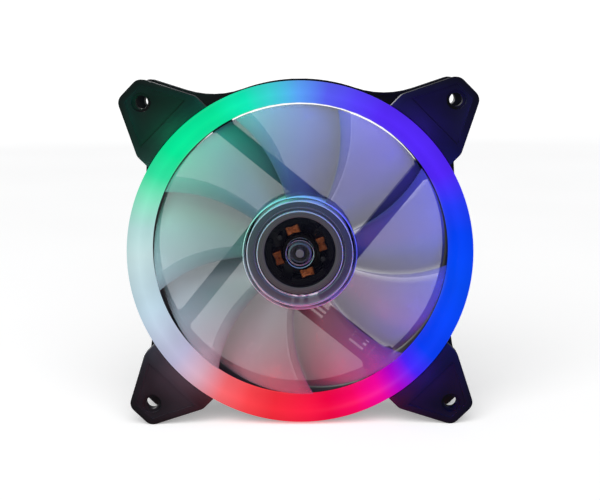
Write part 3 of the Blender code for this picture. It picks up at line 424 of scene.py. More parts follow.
@dataclass(frozen=True)
class Metal(Finish):
    """A metal with the fine marks of how it was made: turned, rolled, stacked or sintered."""

    colour: str
    dark_colour: str
    roughness: float
    lay: Lay
    mark_mm: float
    metallic: float = 1.0
    depth_mm: float = 0.01

    def marks(self, add: Adder, where: Socket) -> Socket:
        """The pattern of the marks, from 0 to 1.

        Args:
            add: Adds a node to the material.
            where: The piece's own coordinates.

        Returns:
            The pattern's value.
        """
        if self.lay is Lay.STACKED:
            depth = add("SeparateXYZ", (where,), "Y")
            along = add("Math", (depth, TURN / (self.mark_mm * MM)), operation="MULTIPLY")
            wave = add("Math", (along,), operation="COSINE")
            return add("MapRange", (wave, -1.0, -0.6, 0.0, 1.0))
        if self.lay is Lay.TURNED:
            _, radius = around_and_out(add, where)
            where = add("CombineXYZ", {"X": radius})
        elif self.lay is Lay.ROLLED:
            where = add("Mapping", {"Vector": where, "Scale": (1.0, 0.06, 1.0)})
        return add("TexNoise", {"Vector": where, "Scale": per_metre(self.mark_mm), "Detail": 4.0})

    def inputs(self, add: Adder, where: Socket) -> dict[str, Any]:
        """What the shader's inputs get, as Finish says."""
        marks = self.marks(add, where)
        share = add("MapRange", (marks, 0.35, 0.65, 0.0, 1.0))
        return {
            "Base Color": add("Mix", {SHARE: share, FIRST: linear(self.dark_colour),
                                      SECOND: linear(self.colour)},
                              MIXED, **IN_COLOUR),
            "Metallic": self.metallic,
            "Roughness": add("MapRange", (marks, *MIDDLE, self.roughness + 0.08,
                                          self.roughness - 0.05)),
            "Normal": add("Bump", {"Height": marks, "Strength": 0.6,
                                   "Distance": self.depth_mm * MM}),
        }


@dataclass(frozen=True)
class EnamelledWire(Finish):
    """Copper magnet wire under clear enamel: warm metal, glossy, a little darker in patches."""

    dark_colour: str = "#A8511F"
    colour: str = "#DD8244"
    cloud_mm: float = 1.2

    def inputs(self, add: Adder, where: Socket) -> dict[str, Any]:
        """What the shader's inputs get, as Finish says."""
        cloud = add("TexNoise", {"Vector": where, "Scale": per_metre(self.cloud_mm),
                                 "Detail": 3.0})
        share = add("MapRange", (cloud, *MIDDLE, 0.0, 1.0))
        return {
            "Base Color": add("Mix", {SHARE: share, FIRST: linear(self.dark_colour),
                                      SECOND: linear(self.colour)},
                              MIXED, **IN_COLOUR),
            "Metallic": 1.0,
            "Roughness": add("MapRange", (cloud, *MIDDLE, 0.26, 0.4)),
            "Coat Weight": 0.6,
            "Coat Roughness": 0.12,
        }


@dataclass(frozen=True)
class Laminate(Finish):
    """Glass-epoxy board under solder mask: even gloss, with copper tracks showing through."""

    mask: str
    track: str
    track_mm: float
    weave_mm: float = 0.5

    def inputs(self, add: Adder, where: Socket) -> dict[str, Any]:
        """What the shader's inputs get, as Finish says."""
        share, radius = around_and_out(add, where)
        polar = add("CombineXYZ", {"X": radius, "Y": share})
        stretched = add("Mapping", {"Vector": polar, "Scale": (1.0, 0.02, 1.0)})
        tracks = add("TexBrick", {
            "Vector": stretched, "Scale": per_metre(self.track_mm), "Mortar Size": 0.05,
            "Color1": linear(self.track), "Color2": linear(self.mask),
            "Mortar": linear(self.mask)})
        weave = add("TexNoise", {"Vector": where, "Scale": per_metre(self.weave_mm)})
        cover = add("MapRange", (weave, *MIDDLE, 0.25, 0.45))
        return {
            "Base Color": add("Mix", {SHARE: cover, FIRST: tracks, SECOND: linear(self.mask)},
                              MIXED, **IN_COLOUR),
            "Roughness": add("MapRange", (weave, *MIDDLE, 0.3, 0.42)),
            "Normal": add("Bump", {"Height": weave, "Strength": 0.5, "Distance": 0.01 * MM}),
            "Coat Weight": 0.3,
        }


@dataclass(frozen=True)
class LabelFilm(Finish):
    """Silver polyester film with a plain printed border and two plain bands, and no words."""

    silver: str = "#B4B7BD"
    rolled_silver: str = "#9A9DA4"
    ink: str = "#23252B"
    border_mm: float = 12.1
    border_half_mm: float = 0.35
    band_mm: float = 4.6
    band_half_mm: float = 0.9
    rolled_mm: float = 0.4

    def inputs(self, add: Adder, where: Socket) -> dict[str, Any]:
        """What the shader's inputs get, as Finish says."""
        _, radius = around_and_out(add, where)
        border = add("Math", (radius, self.border_mm * MM, self.border_half_mm * MM),
                     operation="COMPARE")
        height = add("SeparateXYZ", (where,), "Z")
        lift = add("Math", (height,), operation="ABSOLUTE")
        band = add("Math", (lift, self.band_mm * MM, self.band_half_mm * MM), operation="COMPARE")
        inked = add("Math", (border, band), operation="MAXIMUM")
        drawn = add("Mapping", {"Vector": where, "Scale": (0.05, 1.0, 1.0)})
        rolled = add("TexNoise", {"Vector": drawn, "Scale": per_metre(self.rolled_mm)})
        share = add("MapRange", (rolled, *MIDDLE, 0.0, 0.4))
        silver = add("Mix", {SHARE: share, FIRST: linear(self.silver),
                             SECOND: linear(self.rolled_silver)}, MIXED, **IN_COLOUR)
        return {
            "Base Color": add("Mix", {SHARE: inked, FIRST: silver,
                                      SECOND: linear(self.ink)}, MIXED, **IN_COLOUR),
            "Metallic": add("MapRange", (inked, 0.0, 1.0, 0.7, 0.0)),
            "Roughness": add("MapRange", (rolled, *MIDDLE, 0.3, 0.42)),
        }


@dataclass(frozen=True)
class PaintedBoard(Finish):
    """Pale painted board: almost white and matt, with a slow drift from the roller."""

    colour: str = "#EDEDED"
    drift_colour: str = "#F1F1F1"
    glow: float = 0.3
    drift_mm: float = 300.0

    def inputs(self, add: Adder, where: Socket) -> dict[str, Any]:
        """What the shader's inputs get, as Finish says."""
        cloud = add("TexNoise", {"Vector": where, "Scale": per_metre(self.drift_mm)})
        share = add("MapRange", (cloud, *MIDDLE, 0.0, 1.0))
        return {
            "Base Color": add("Mix", {SHARE: share, FIRST: linear(self.colour),
                                      SECOND: linear(self.drift_colour)},
                              MIXED, **IN_COLOUR),
            "Roughness": 0.8,
            "Specular IOR Level": 0.1,
            "Emission Color": linear("#FFFFFF"),
            "Emission Strength": self.glow,
        }


# Finishes. Grain too fine to show at this size is drawn as coarse as it needs to show.

# Satin black with a soft, wide shine that breaks up over the spark-eroded grain
BLACK_ABS = MouldedPlastic("abs_black_moulded", "#141417", "#252529", 0.42, specular=0.15)
# Duller and browner than the frame, so the formers sink into the dark
BLACK_NYLON = MouldedPlastic("nylon_black_moulded", "#0C0B0C", "#181718", 0.5, 0.25, 0.008,
                             specular=0.12)
# Waxy cream with almost no relief
NATURAL_NYLON = MouldedPlastic("nylon_natural_moulded", "#CFCAB8", "#E4E0D2", 0.45, 0.25, 0.006)
# Dark violet grey, a little waxy, behind the clear boss
SMOKY_NYLON = MouldedPlastic("nylon_smoky_moulded", "#37343A", "#4A474D", 0.4, 0.25, 0.006)
# Chalky off-white of a lamp's heat-proof body
LAMP_PLASTIC = MouldedPlastic("polyphthalamide_white_moulded", "#E9E4D0", "#F6F3E8", 0.4, 0.3,
                              0.004)
# Flat black with a mineral grit, as chips have
EPOXY = MouldedPlastic("epoxy_black_moulded", "#141416", "#2A2A2C", 0.5, 0.18, 0.01,
                       specular=0.25)
# Matt black that gives back hardly any shine
RUBBER = MouldedPlastic("rubber_black_moulded", "#0E0E0E", "#1C1C1C", 0.72, 0.3, 0.02, 1.52, 0.2)
# Black with a narrow soft highlight along each lead
SLEEVE = MouldedPlastic("pvc_black_extruded", "#111113", "#222226", 0.38, 0.2, 0.006,
                        specular=0.3)
# Silver with a faint streak across, crossed by dull dark ink
FILM = LabelFilm("polyester_silver_film")
# Glows evenly and hides the lamps
DIFFUSER = LitDiffuser("polycarbonate_milky_lit")
# A pale smoky veil that clears at each blade's edges, with a soft broad sheen
CLEAR_BLADE = ClearPlastic("polycarbonate_clear_moulded", "#6F7379", "#7D8187", 0.6, 0.72,
                           0.22, thin_edges=True)
# Almost unseen face on, dense on its walls, with painted highlights as bright circles at its
# corners
CLEAR_HUB = ClearPlastic("polycarbonate_clear_polished", "#6C6F78", "#7A7D86", 0.025, 0.8, 0.12,
                         rim_highlights=(RimHighlight(19.78, 0.14, 0.45), RimHighlight(18.35, 0.12, 0.7), RimHighlight(16.7, 1.5, 0.03),
                               RimHighlight(14.85, 0.13, 0.55), RimHighlight(4.85, 0.09, 0.4), RimHighlight(3.75, 0.3, 0.1)),
                         clear_middle=True)
# Warm grey with fine circles that draw the light into a bow
YOKE_STEEL = Metal("steel_zinc_plated_drawn", "#9A9592", "#79736F", 0.4, Lay.TURNED, 0.25, 0.7)
# Dark grey edges of sheets, with a black line between each two
CORE_STEEL = Metal("silicon_steel_stacked", "#5B5D61", "#1E1F21", 0.45, Lay.STACKED, 0.5)
# Bright, with hairlines from grinding, and a violet tint painted in for the coloured light that
# reaches it through the plastic before it
GROUND_STEEL = Metal("steel_ground_bright", "#C4BDCB", "#A29CA9", 0.34, Lay.ROLLED, 0.08, 0.7,
                     0.002)
# Dull dark grey, as old solder
TINNED = Metal("brass_tinned_dull", "#5A5A5C", "#39393C", 0.5, Lay.MATT, 0.3)
# Brown gold, speckled by its open pores
BRONZE = Metal("bronze_sintered_oiled", "#A57B45", "#5C4022", 0.45, Lay.MATT, 0.15, 1.0, 0.02)
# Charcoal with a dry powdery shine
FERRITE = Metal("ferrite_bonded_moulded", "#1C1C1E", "#101012", 0.6, Lay.MATT, 0.2, 0.2, 0.02)
# Orange metal with a hard gloss on each turn
COPPER = EnamelledWire("copper_enamelled_wire")
# Near black with tracks that show only where the light grazes them
MOTOR_BOARD = Laminate("glass_epoxy_black_mask", "#080C0A", "#121A16", 1.2)
# White, to throw the lamps' light forwards, with tracks as a faint grey
LAMP_BOARD = Laminate("glass_epoxy_white_mask", "#D6D8D4", "#C6CAC4", 1.6)
# A clean ground that takes a soft shadow
PALE_BOARD = PaintedBoard("painted_board_pale")


# Shaping by hand

def clear_selection() -> None:
    """Leaves edit mode and deselects everything."""
    if bpy.context.object and bpy.context.object.mode != "OBJECT":
        bpy.ops.object.mode_set(mode="OBJECT")
    bpy.ops.object.select_all(action="DESELECT")


def make_active(piece: Piece) -> None:
    """Selects one piece and nothing else."""
    clear_selection()
    piece.select_set(True)
    bpy.context.view_layer.objects.active = piece


def place_of(point: Point) -> Vector:
    """The place in metres of a (radius, y) point on the fan's +X side."""
    return Vector((point[0] * MM, point[1] * MM, 0.0))


def begin_outline(name: str, places: list[Vector], closed: bool) -> Piece:
    """Draws an outline by extruding one point from place to place.

    Args:
        name: The new object's name.
        places: The outline's corners, in metres.
        closed: True to join the last corner to the first.

    Returns:
        The object, in edit mode, with all of the outline selected.
    """
    clear_selection()
    bpy.ops.mesh.primitive_plane_add(size=MM, location=places[0])
    piece = bpy.context.object
    piece.name = name
    bpy.ops.object.transform_apply(location=True, rotation=True, scale=True)
    bpy.ops.object.mode_set(mode="EDIT")
    bpy.ops.mesh.merge(type="CENTER")
    route = [*places, places[0]] if closed else places
    for before, after in zip(route, route[1:]):
        bpy.ops.mesh.extrude_region_move(TRANSFORM_OT_translate={"value": after - before})
    bpy.ops.mesh.select_all(action="SELECT")
    if closed:
        bpy.ops.mesh.remove_doubles(threshold=MERGE)
    return piece


def close_up(piece: Piece) -> None:
    """Merges doubles, turns every face outward and leaves edit mode."""
    bpy.ops.mesh.select_all(action="SELECT")
    bpy.ops.mesh.remove_doubles(threshold=MERGE)
    bpy.ops.mesh.normals_make_consistent(inside=False)
    bpy.ops.object.mode_set(mode="OBJECT")
    make_active(piece)


def round_edges(piece: Piece, width_mm: float, angle: float = 30.0) -> None:
    """Rounds the sharp edges of a piece and shades it smooth between them.

    Args:
        piece: The piece.
        width_mm: The width of the rounding.
        angle: The sharpest edge, in degrees, that stays as it is.
    """
    make_active(piece)
    bevel = piece.modifiers.new("edges", "BEVEL")
    bevel.width = width_mm * MM
    bevel.segments = EDGE_SEGMENTS
    bevel.limit_method = "ANGLE"
    bevel.angle_limit = math.radians(angle)
    bpy.ops.object.modifier_apply(modifier=bevel.name)
    bpy.ops.object.shade_smooth_by_angle(angle=SMOOTH)


def turned(name: str, profile: list[Point], steps: int, edge_mm: float = 0.0) -> Piece:
    """Spins a closed outline about the fan's axis.

    Args:
        name: The piece's name.
        profile: (radius, y) corners in millimetres, in order round the outline.
        steps: How many sides the circle has.
        edge_mm: The rounding of sharp edges, or 0.

    Returns:
        The piece.
    """
    piece = begin_outline(name, [place_of(point) for point in profile], True)
    bpy.ops.mesh.spin(steps=steps, angle=TURN, center=(0.0, 0.0, 0.0), axis=(0.0, 1.0, 0.0),
                      use_auto_merge=True)
    close_up(piece)
    if edge_mm:
        round_edges(piece, edge_mm)
    else:
        bpy.ops.object.shade_smooth_by_angle(angle=SMOOTH)
    return piece


def pressed(name: str, outline: list[Point], y_start: float, y_end: float,
            edge_mm: float) -> Piece:
    """Extrudes a flat outline along the fan's axis.

    Args:
        name: The piece's name.
        outline: (x, z) corners in millimetres.
        y_start: The front face's place along the axis.
        y_end: The rear face's place.
        edge_mm: The rounding of sharp edges.

    Returns:
        The piece.
    """
    corners = [Vector((x * MM, y_start * MM, z * MM)) for x, z in outline]
    piece = begin_outline(name, corners, True)
    bpy.ops.mesh.edge_face_add()
    bpy.ops.mesh.extrude_region_move(
        TRANSFORM_OT_translate={"value": (0.0, (y_end - y_start) * MM, 0.0)})
    close_up(piece)
    round_edges(piece, edge_mm)
    return piece


def refined(source: Piece, name: str, edge_mm: float) -> Piece:
    """Copies a CAD node, joins its loose triangles and rounds its edges.

    Args:
        source: The CAD node.
        name: The new piece's name.
        edge_mm: The rounding of its edges.

    Returns:
        The new piece.
    """
    copy = bpy.data.objects.new(name, source.data.copy())
    bpy.context.scene.collection.objects.link(copy)
    copy.data.materials.clear()
    make_active(copy)
    bpy.ops.mesh.customdata_custom_splitnormals_clear()
    bpy.ops.object.mode_set(mode="EDIT")
    bpy.ops.mesh.select_all(action="SELECT")
    bpy.ops.mesh.remove_doubles(threshold=2.0 * MERGE)
    bpy.ops.mesh.dissolve_limited(angle_limit=FLAT)
    bpy.ops.object.mode_set(mode="OBJECT")
    round_edges(copy, edge_mm, CAD_SHARP)
    return copy


def arc(centre: Point, radii: Point, start: float, end: float, steps: int) -> list[Point]:
    """Points along an arc of an ellipse, both ends included.

    Args:
        centre: The ellipse's middle.
        radii: Its half widths.
        start: The first angle, in degrees.
        end: The last angle, in degrees.
        steps: How many steps there are.

    Returns:
        The points.
    """
    angles = [math.radians(start + (end - start) * step / steps) for step in range(steps + 1)]
    return [(centre[0] + radii[0] * math.cos(angle), centre[1] + radii[1] * math.sin(angle))
            for angle in angles]


def turn(point: Point, angle: float) -> Point:
    """Turns an (x, z) point about the axis by an angle in radians."""
    x, z = point
    return (x * math.cos(angle) - z * math.sin(angle), x * math.sin(angle) + z * math.cos(angle))


def tube(name: str, path: list[Place], radius_mm: float) -> Piece:
    """A fine round wire along a path, as a mesh.

    Args:
        name: The piece's name.
        path: The points it follows, in millimetres.
        radius_mm: The wire's radius.

    Returns:
        The wire.
    """
    curve = bpy.data.curves.new(name, "CURVE")
    curve.dimensions = "3D"
    curve.bevel_depth = radius_mm * MM
    curve.bevel_resolution = 1
    curve.use_fill_caps = True
    spline = curve.splines.new("POLY")
    spline.points.add(len(path) - 1)
    for point, (x, y, z) in zip(spline.points, path):
        point.co = (x * MM, y * MM, z * MM, 1.0)
    wire = bpy.data.objects.new(name, curve)
    bpy.context.scene.collection.objects.link(wire)
    make_active(wire)
    bpy.ops.object.convert(target="MESH")
    made = bpy.context.object
    bpy.ops.object.mode_set(mode="EDIT")
    bpy.ops.mesh.select_all(action="SELECT")
    bpy.ops.mesh.remove_doubles(threshold=MERGE)
    bpy.ops.mesh.fill_holes(sides=0)
    bpy.ops.mesh.normals_make_consistent(inside=False)
    bpy.ops.object.mode_set(mode="OBJECT")
    bpy.ops.object.shade_smooth_by_angle(angle=WIRE_SMOOTH)
    return made


def turned_copy(piece: Piece, name: str, angle: float) -> Piece:
    """Copies a piece, with its own mesh, turned about the fan's axis.

    Args:
        piece: The piece.
        name: The copy's name.
        angle: How far it is turned from +X towards +Z, in radians.

    Returns:
        The copy.
    """
    made = piece.copy()
    made.data = piece.data.copy()
    made.name = name
    made.data.transform(Matrix.Rotation(-angle, 4, "Y"))
    bpy.context.scene.collection.objects.link(made)
    return made


@dataclass(frozen=True)
class Rounded:
    """A CAD node that a copy of it with rounded edges stands for."""

    node: str
    edge_mm: float
    finish: Finish
    slot: Slot
    ending: str = "moulding"


@dataclass
class Dresser:
    """Gives pieces their finish and hands them to the frame."""

    nodes: dict[str, Piece]
    made: dict[str, bpy.types.Material]
    shown: list[Piece]

    def fit(self, piece: Piece, finish: Finish, body: Body, node: str) -> None:
        """Dresses a new piece and lets it ride.

        Args:
            piece: The piece.
            finish: Its finish.
            body: The body it moves with.
            node: The CAD node it stands for.
        """
        if finish.name not in self.made:
            self.made[finish.name] = finish.make()
        piece.data.materials.clear()
        piece.data.materials.append(self.made[finish.name])
        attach(piece, body.value)
        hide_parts(node)
        self.shown.append(piece)
        LOG.info("%s rides on %s in %s", piece.name, body.value, finish.name)

    def round_off(self, body: Body, *plan: Rounded) -> None:
        """Stands a copy with rounded edges in for each of several CAD nodes.

        Args:
            body: The body they move with.
            *plan: Each node with what it gets.
        """
        for part in plan:
            piece = refined(self.nodes[part.node], f"{part.node}_{part.ending}", part.edge_mm)
            self.fit(piece, part.finish, body, part.node)


@dataclass
class Frame:
    """The black moulding that carries everything else."""

    edge: float = 0.25

    def build(self, dresser: Dresser) -> None:
        """Builds the frame with rounded edges."""
        dresser.round_off(Body.HOUSING, Rounded("frame", self.edge, BLACK_ABS, Slot.ABS))


@dataclass
class LightRing:
    """The milky bell mouth, the board under it and the lamps on the board."""

    radius: float = 59.2
    crest_inset: float = 1.0
    front: float = -12.5
    mouth_width: float = 6.5
    mouth_depth: float = 10.0
    throat: float = -2.5
    skirt: float = -9.5
    wall: float = 1.6
    steps: int = 192
    mouth_steps: int = 22
    edge_steps: int = 6
    inside_end: float = 84.0
    lamp_count: int = 16

    def profile(self) -> list[Point]:
        """The ring's section, outside first."""
        crest = self.radius - self.crest_inset
        outside = arc((crest, self.throat), (-self.mouth_width, -self.mouth_depth), 90.0, 0.0,
                      self.mouth_steps)
        inside = arc((crest, self.throat),
                     (self.wall - self.mouth_width, self.wall - self.mouth_depth), 0.0,
                     self.inside_end, self.mouth_steps)
        edge = arc((crest, self.front + self.crest_inset), (self.crest_inset,) * 2, 0.0, -90.0,
                   self.edge_steps)
        skirt_inner = self.radius - self.wall
        kept = [point for point in inside if point[0] < skirt_inner]
        return [(self.radius, self.skirt), *edge[:-1], *outside, *kept,
                (skirt_inner, self.front + self.wall), (skirt_inner, self.skirt)]

    def build(self, dresser: Dresser) -> None:
        """Builds the ring and dresses the board and the lamps."""
        ring = turned("light_ring", self.profile(), self.steps)
        dresser.fit(ring, DIFFUSER, Body.HOUSING, "light_diffuser")
        lamps = [Rounded(f"lamp_{number:02d}", 0.25, LAMP_PLASTIC, Slot.LAMP, "package")
                 for number in range(1, self.lamp_count + 1)]
        dresser.round_off(Body.HOUSING,
                          Rounded("lamp_board", 0.08, LAMP_BOARD, Slot.LAMINATE), *lamps)


@dataclass
class Impeller:
    """The clear hub and its nine blades."""

    hub_radius: float = 19.9
    hub_face: float = -7.7
    hub_rear: float = 7.6
    wall: float = 1.5
    hub_round: float = 1.5
    boss_radius: float = 5.0
    boss_length: float = 4.0
    ridge_outer: float = 4.1
    ridge_inner: float = 2.7
    ridge_height: float = 0.4
    groove: float = 0.7
    bore: float = 1.8
    collar_inner: float = 15.0
    collar_outer: float = 15.9
    collar_length: float = 3.6
    blade_count: int = 9
    root: float = 19.15
    tip: float = 51.1
    lead: float = 92.0
    depth: float = 11.6
    camber: float = 0.04
    thickness: float = 1.4
    hub_edge: float = 0.1
    edge_share: float = 0.45
    blade_edge: float = 0.22
    blade_sharp: float = 50.0
    sweep: float = 12.0
    sweep_power: float = 1.5
    middle: float = -0.65
    steps: int = 128
    chord_steps: int = 20
    span_steps: int = 26

    def hub_profile(self) -> list[Point]:
        """The hub's section: face, rim, wall, the yoke's collar and the shaft's boss."""
        face, inside = self.hub_face, self.hub_face + self.wall
        rim = arc((self.hub_radius - self.hub_round, face + self.hub_round),
                  (self.hub_round,) * 2, 0.0, -90.0, 8)
        groove_radius = self.ridge_outer + self.groove
        height = self.ridge_height
        boss_end, collar_end = inside + self.boss_length, inside + self.collar_length
        wall_inside = self.hub_radius - self.wall
        return [
            (self.hub_radius, self.hub_rear), *rim,
            (groove_radius, face), (groove_radius, face + height),
            (self.ridge_outer, face + height), (self.ridge_outer, face),
            (self.ridge_outer - height, face - height), (self.ridge_inner + height, face - height),
            (self.ridge_inner, face), (self.ridge_inner, inside), (self.bore, inside),
            (self.bore, boss_end), (self.boss_radius, boss_end), (self.boss_radius, inside),
            (self.collar_inner, inside), (self.collar_inner, collar_end),
            (self.collar_outer, collar_end), (self.collar_outer, inside),
            (wall_inside, inside), (wall_inside, self.hub_rear),
        ]

    def blade_place(self, along: float, out: float) -> tuple[Vector, float]:
        """A place on a blade's middle surface, and its thickness there.

        Args:
            along: From -1 at the rear edge to 1 at the front edge.
            out: From 0 at the root to 1 at the tip.

        Returns:
            The place in metres, and the share of the full thickness.
        """
        radius = self.root + (self.tip - self.root) * out
        pitch = math.atan(self.lead / (TURN * radius))
        chord = self.depth / math.sin(pitch)
        bulge = 1.0 - along * along
        across = (0.5 - bulge) * self.camber * chord
        ahead = along * chord / 2.0
        around = ahead * math.cos(pitch) + across * math.sin(pitch)
        axial = ahead * math.sin(pitch) - across * math.cos(pitch)
        angle = around / radius + math.radians(self.sweep) * out ** self.sweep_power
        place = Vector((radius * math.cos(angle), self.middle - axial, radius * math.sin(angle)))
        return place * MM, self.edge_share + (1.0 - self.edge_share) * bulge

    def blade(self) -> Piece:
        """One blade, from a flat grid bent to the helix, thickened and rounded."""
        clear_selection()
        bpy.ops.mesh.primitive_grid_add(x_subdivisions=self.chord_steps,
                                        y_subdivisions=self.span_steps, size=2.0)
        blade = bpy.context.object
        group = blade.vertex_groups.new(name="thick")
        for vertex in blade.data.vertices:
            place, share = self.blade_place(vertex.co.x, (vertex.co.y + 1.0) / 2.0)
            group.add([vertex.index], share, "REPLACE")
            vertex.co = place
        wall = blade.modifiers.new("wall", "SOLIDIFY")
        wall.thickness = self.thickness * MM
        wall.offset = 0.0
        wall.vertex_group = group.name
        wall.use_even_offset = True
        bpy.ops.object.modifier_apply(modifier=wall.name)
        blade.vertex_groups.clear()
        bpy.ops.object.mode_set(mode="EDIT")
        close_up(blade)
        round_edges(blade, self.blade_edge, self.blade_sharp)
        return blade

    def build(self, dresser: Dresser) -> None:
        """Builds the hub, then one blade and its copies."""
        hub = turned("impeller_hub", self.hub_profile(), self.steps, self.hub_edge)
        dresser.fit(hub, CLEAR_HUB, Body.ROTOR, "impeller")
        first = self.blade()
        first.name = "blade_1"
        blades = [first] + [
            turned_copy(first, f"blade_{number + 1}", TURN * number / self.blade_count)
            for number in range(1, self.blade_count)
        ]
        for blade in blades:
            dresser.fit(blade, CLEAR_BLADE, Body.ROTOR, "impeller")


@dataclass
class RotorMetal:
    """The yoke, the magnet, the shaft, its washer and its clip."""

    yoke_radius: float = 14.7
    yoke_wall: float = 0.8
    lip_inner: float = 12.45
    yoke_front: float = -4.9
    lip: float = 0.6
    yoke_rear: float = 7.0
    magnet_outer: float = 13.6
    magnet_front: float = -4.0
    magnet_rear: float = 6.7
    yoke_edge: float = 0.22
    magnet_edge: float = 0.12
    steps: int = 128

    def build(self, dresser: Dresser) -> None:
        """Builds the turned metal and dresses the small plastic rings."""
        inner = self.yoke_radius - self.yoke_wall
        yoke = turned("yoke_cup", [
            (self.lip_inner, self.yoke_front), (self.yoke_radius, self.yoke_front),
            (self.yoke_radius, self.yoke_rear), (inner, self.yoke_rear),
            (inner, self.yoke_front + self.lip), (self.lip_inner, self.yoke_front + self.lip),
        ], self.steps, self.yoke_edge)
        dresser.fit(yoke, YOKE_STEEL, Body.ROTOR, "yoke_ring")
        magnet = turned("magnet_sleeve", [
            (self.lip_inner, self.magnet_front), (self.magnet_outer, self.magnet_front),
            (self.magnet_outer, self.magnet_rear), (self.lip_inner, self.magnet_rear),
        ], self.steps, self.magnet_edge)
        dresser.fit(magnet, FERRITE, Body.ROTOR, "magnet_ring")
        dresser.round_off(
            Body.ROTOR,
            Rounded("shaft", 0.05, GROUND_STEEL, Slot.GROUND, "pin"),
            Rounded("thrust_washer", 0.06, SMOKY_NYLON, Slot.NYLON, "ring"),
            Rounded("retaining_clip", 0.06, NATURAL_NYLON, Slot.NYLON, "ring"),
        )


@dataclass
class Stator:
    """The wound core between its formers, its pins and its wire."""

    pole_first: float = 18.0
    coil_inner: float = 6.3
    coil_outer: float = 9.7
    hole_half: float = 1.45
    hole_front: float = -0.9
    hole_rear: float = 7.3
    build_depth: float = 1.15
    wire: float = 0.16
    corner: float = 0.55
    corner_steps: int = 4
    waist: float = 0.26
    bundle_edge: float = 0.5
    coil_count: int = 4

    def loop(self, half: float, front: float, rear: float) -> list[Point]:
        """A rounded rectangle of (across, y) points round one arm.

        Args:
            half: Half its width across the arm.
            front: Its front side along the axis.
            rear: Its rear side.

        Returns:
            The points.
        """
        points: list[Point] = []
        corner = self.corner
        for x, y, start in ((half, rear, 0.0), (-half, rear, 90.0),
                            (-half, front, 180.0), (half, front, 270.0)):
            middle = (x - math.copysign(corner, x),
                      y - corner if y == rear else y + corner)
            points += arc(middle, (corner, corner), start, start + 90.0, self.corner_steps)
            if start in (0.0, 180.0):
                reach = half - corner
                side = -1.0 if start else 1.0
                points += [(side * reach * share, y) for share in (0.5, 0.0, -0.5)]
        return points

    def coil(self) -> Piece:
        """The first coil: a solid bundle with a layer of single turns wound over it."""
        pole = math.radians(self.pole_first)
        half = self.hole_half + self.build_depth - self.wire
        front = self.hole_front - self.build_depth + self.wire
        rear = self.hole_rear + self.build_depth - self.wire
        turns = int((self.coil_outer - self.coil_inner) / (2.0 * self.wire)) - 1
        ring = self.loop(half, front, rear)
        middle = (self.coil_inner + self.coil_outer) / 2.0
        path: list[Place] = []
        for step in range(turns * len(ring) + 1):
            across, y = ring[step % len(ring)]
            even = self.coil_inner + self.wire + 2.0 * self.wire * step / len(ring)
            pinch = 1.0 - self.waist * (1.0 - (across / half) ** 2)
            out = middle + (even - middle) * pinch
            x, z = turn((out, across), pole)
            path.append((x, y, z))
        winding = tube("coil_turns", path, self.wire)
        waist = (middle - self.coil_inner) * (1.0 - self.waist)
        corners = [(self.coil_inner, -half), (self.coil_outer, -half), (middle + waist, 0.0),
                   (self.coil_outer, half), (self.coil_inner, half), (middle - waist, 0.0)]
        bundle = pressed("coil_bundle", [turn(point, pole) for point in corners],
                         front, rear, self.bundle_edge)
        make_active(winding)
        bundle.select_set(True)
        bpy.ops.object.join()
        winding.name = "coil_1_winding"
        return winding

    def build(self, dresser: Dresser) -> None:
        """Builds the core, the formers, the coils and the pins."""
        core = refined(dresser.nodes["stator_core"], "stator_laminations", 0.06)
        dresser.fit(core, CORE_STEEL, Body.HOUSING, "stator_core")
        dresser.round_off(Body.HOUSING, *[
            Rounded(f"former_{end}", 0.12, BLACK_NYLON, Slot.NYLON_BLACK)
            for end in ("front", "rear")])
        first = self.coil()
        coils = [first] + [
            turned_copy(first, f"coil_{number + 1}_winding", TURN * number / self.coil_count)
            for number in range(1, self.coil_count)]
        for number, coil in enumerate(coils, 1):
            dresser.fit(coil, COPPER, Body.HOUSING, f"coil_{number}")
        dresser.round_off(Body.HOUSING, *[
            Rounded(f"winding_pin_{number}", 0.2, TINNED, Slot.PIN) for number in (1, 2)])


class MotorBase:
    """What sits in the frame's motor base: board, parts, bearing, cap and label."""

    def build(self, dresser: Dresser) -> None:
        """Dresses each piece with rounded edges."""
        dresser.round_off(
            Body.HOUSING,
            Rounded("motor_board", 0.08, MOTOR_BOARD, Slot.LAMINATE),
            Rounded("hall_sensor", 0.15, EPOXY, Slot.EPOXY),
            Rounded("driver_chip", 0.18, EPOXY, Slot.EPOXY),
            Rounded("sleeve_bearing", 0.12, BRONZE, Slot.BRONZE),
            Rounded("bearing_cap", 0.12, BLACK_NYLON, Slot.NYLON_BLACK),
            Rounded("rear_label", 0.04, FILM, Slot.LABEL),
        )


class Leads:
    """The two leads and the grommet they leave by."""

    def build(self, dresser: Dresser) -> None:
        """Dresses the leads and the grommet."""
        dresser.round_off(
            Body.HOUSING,
            Rounded("lead_wire_1", 0.03, SLEEVE, Slot.SLEEVE, "sleeve"),
            Rounded("lead_wire_2", 0.03, SLEEVE, Slot.SLEEVE, "sleeve"),
            Rounded("cable_grommet", 0.15, RUBBER, Slot.RUBBER),
        )


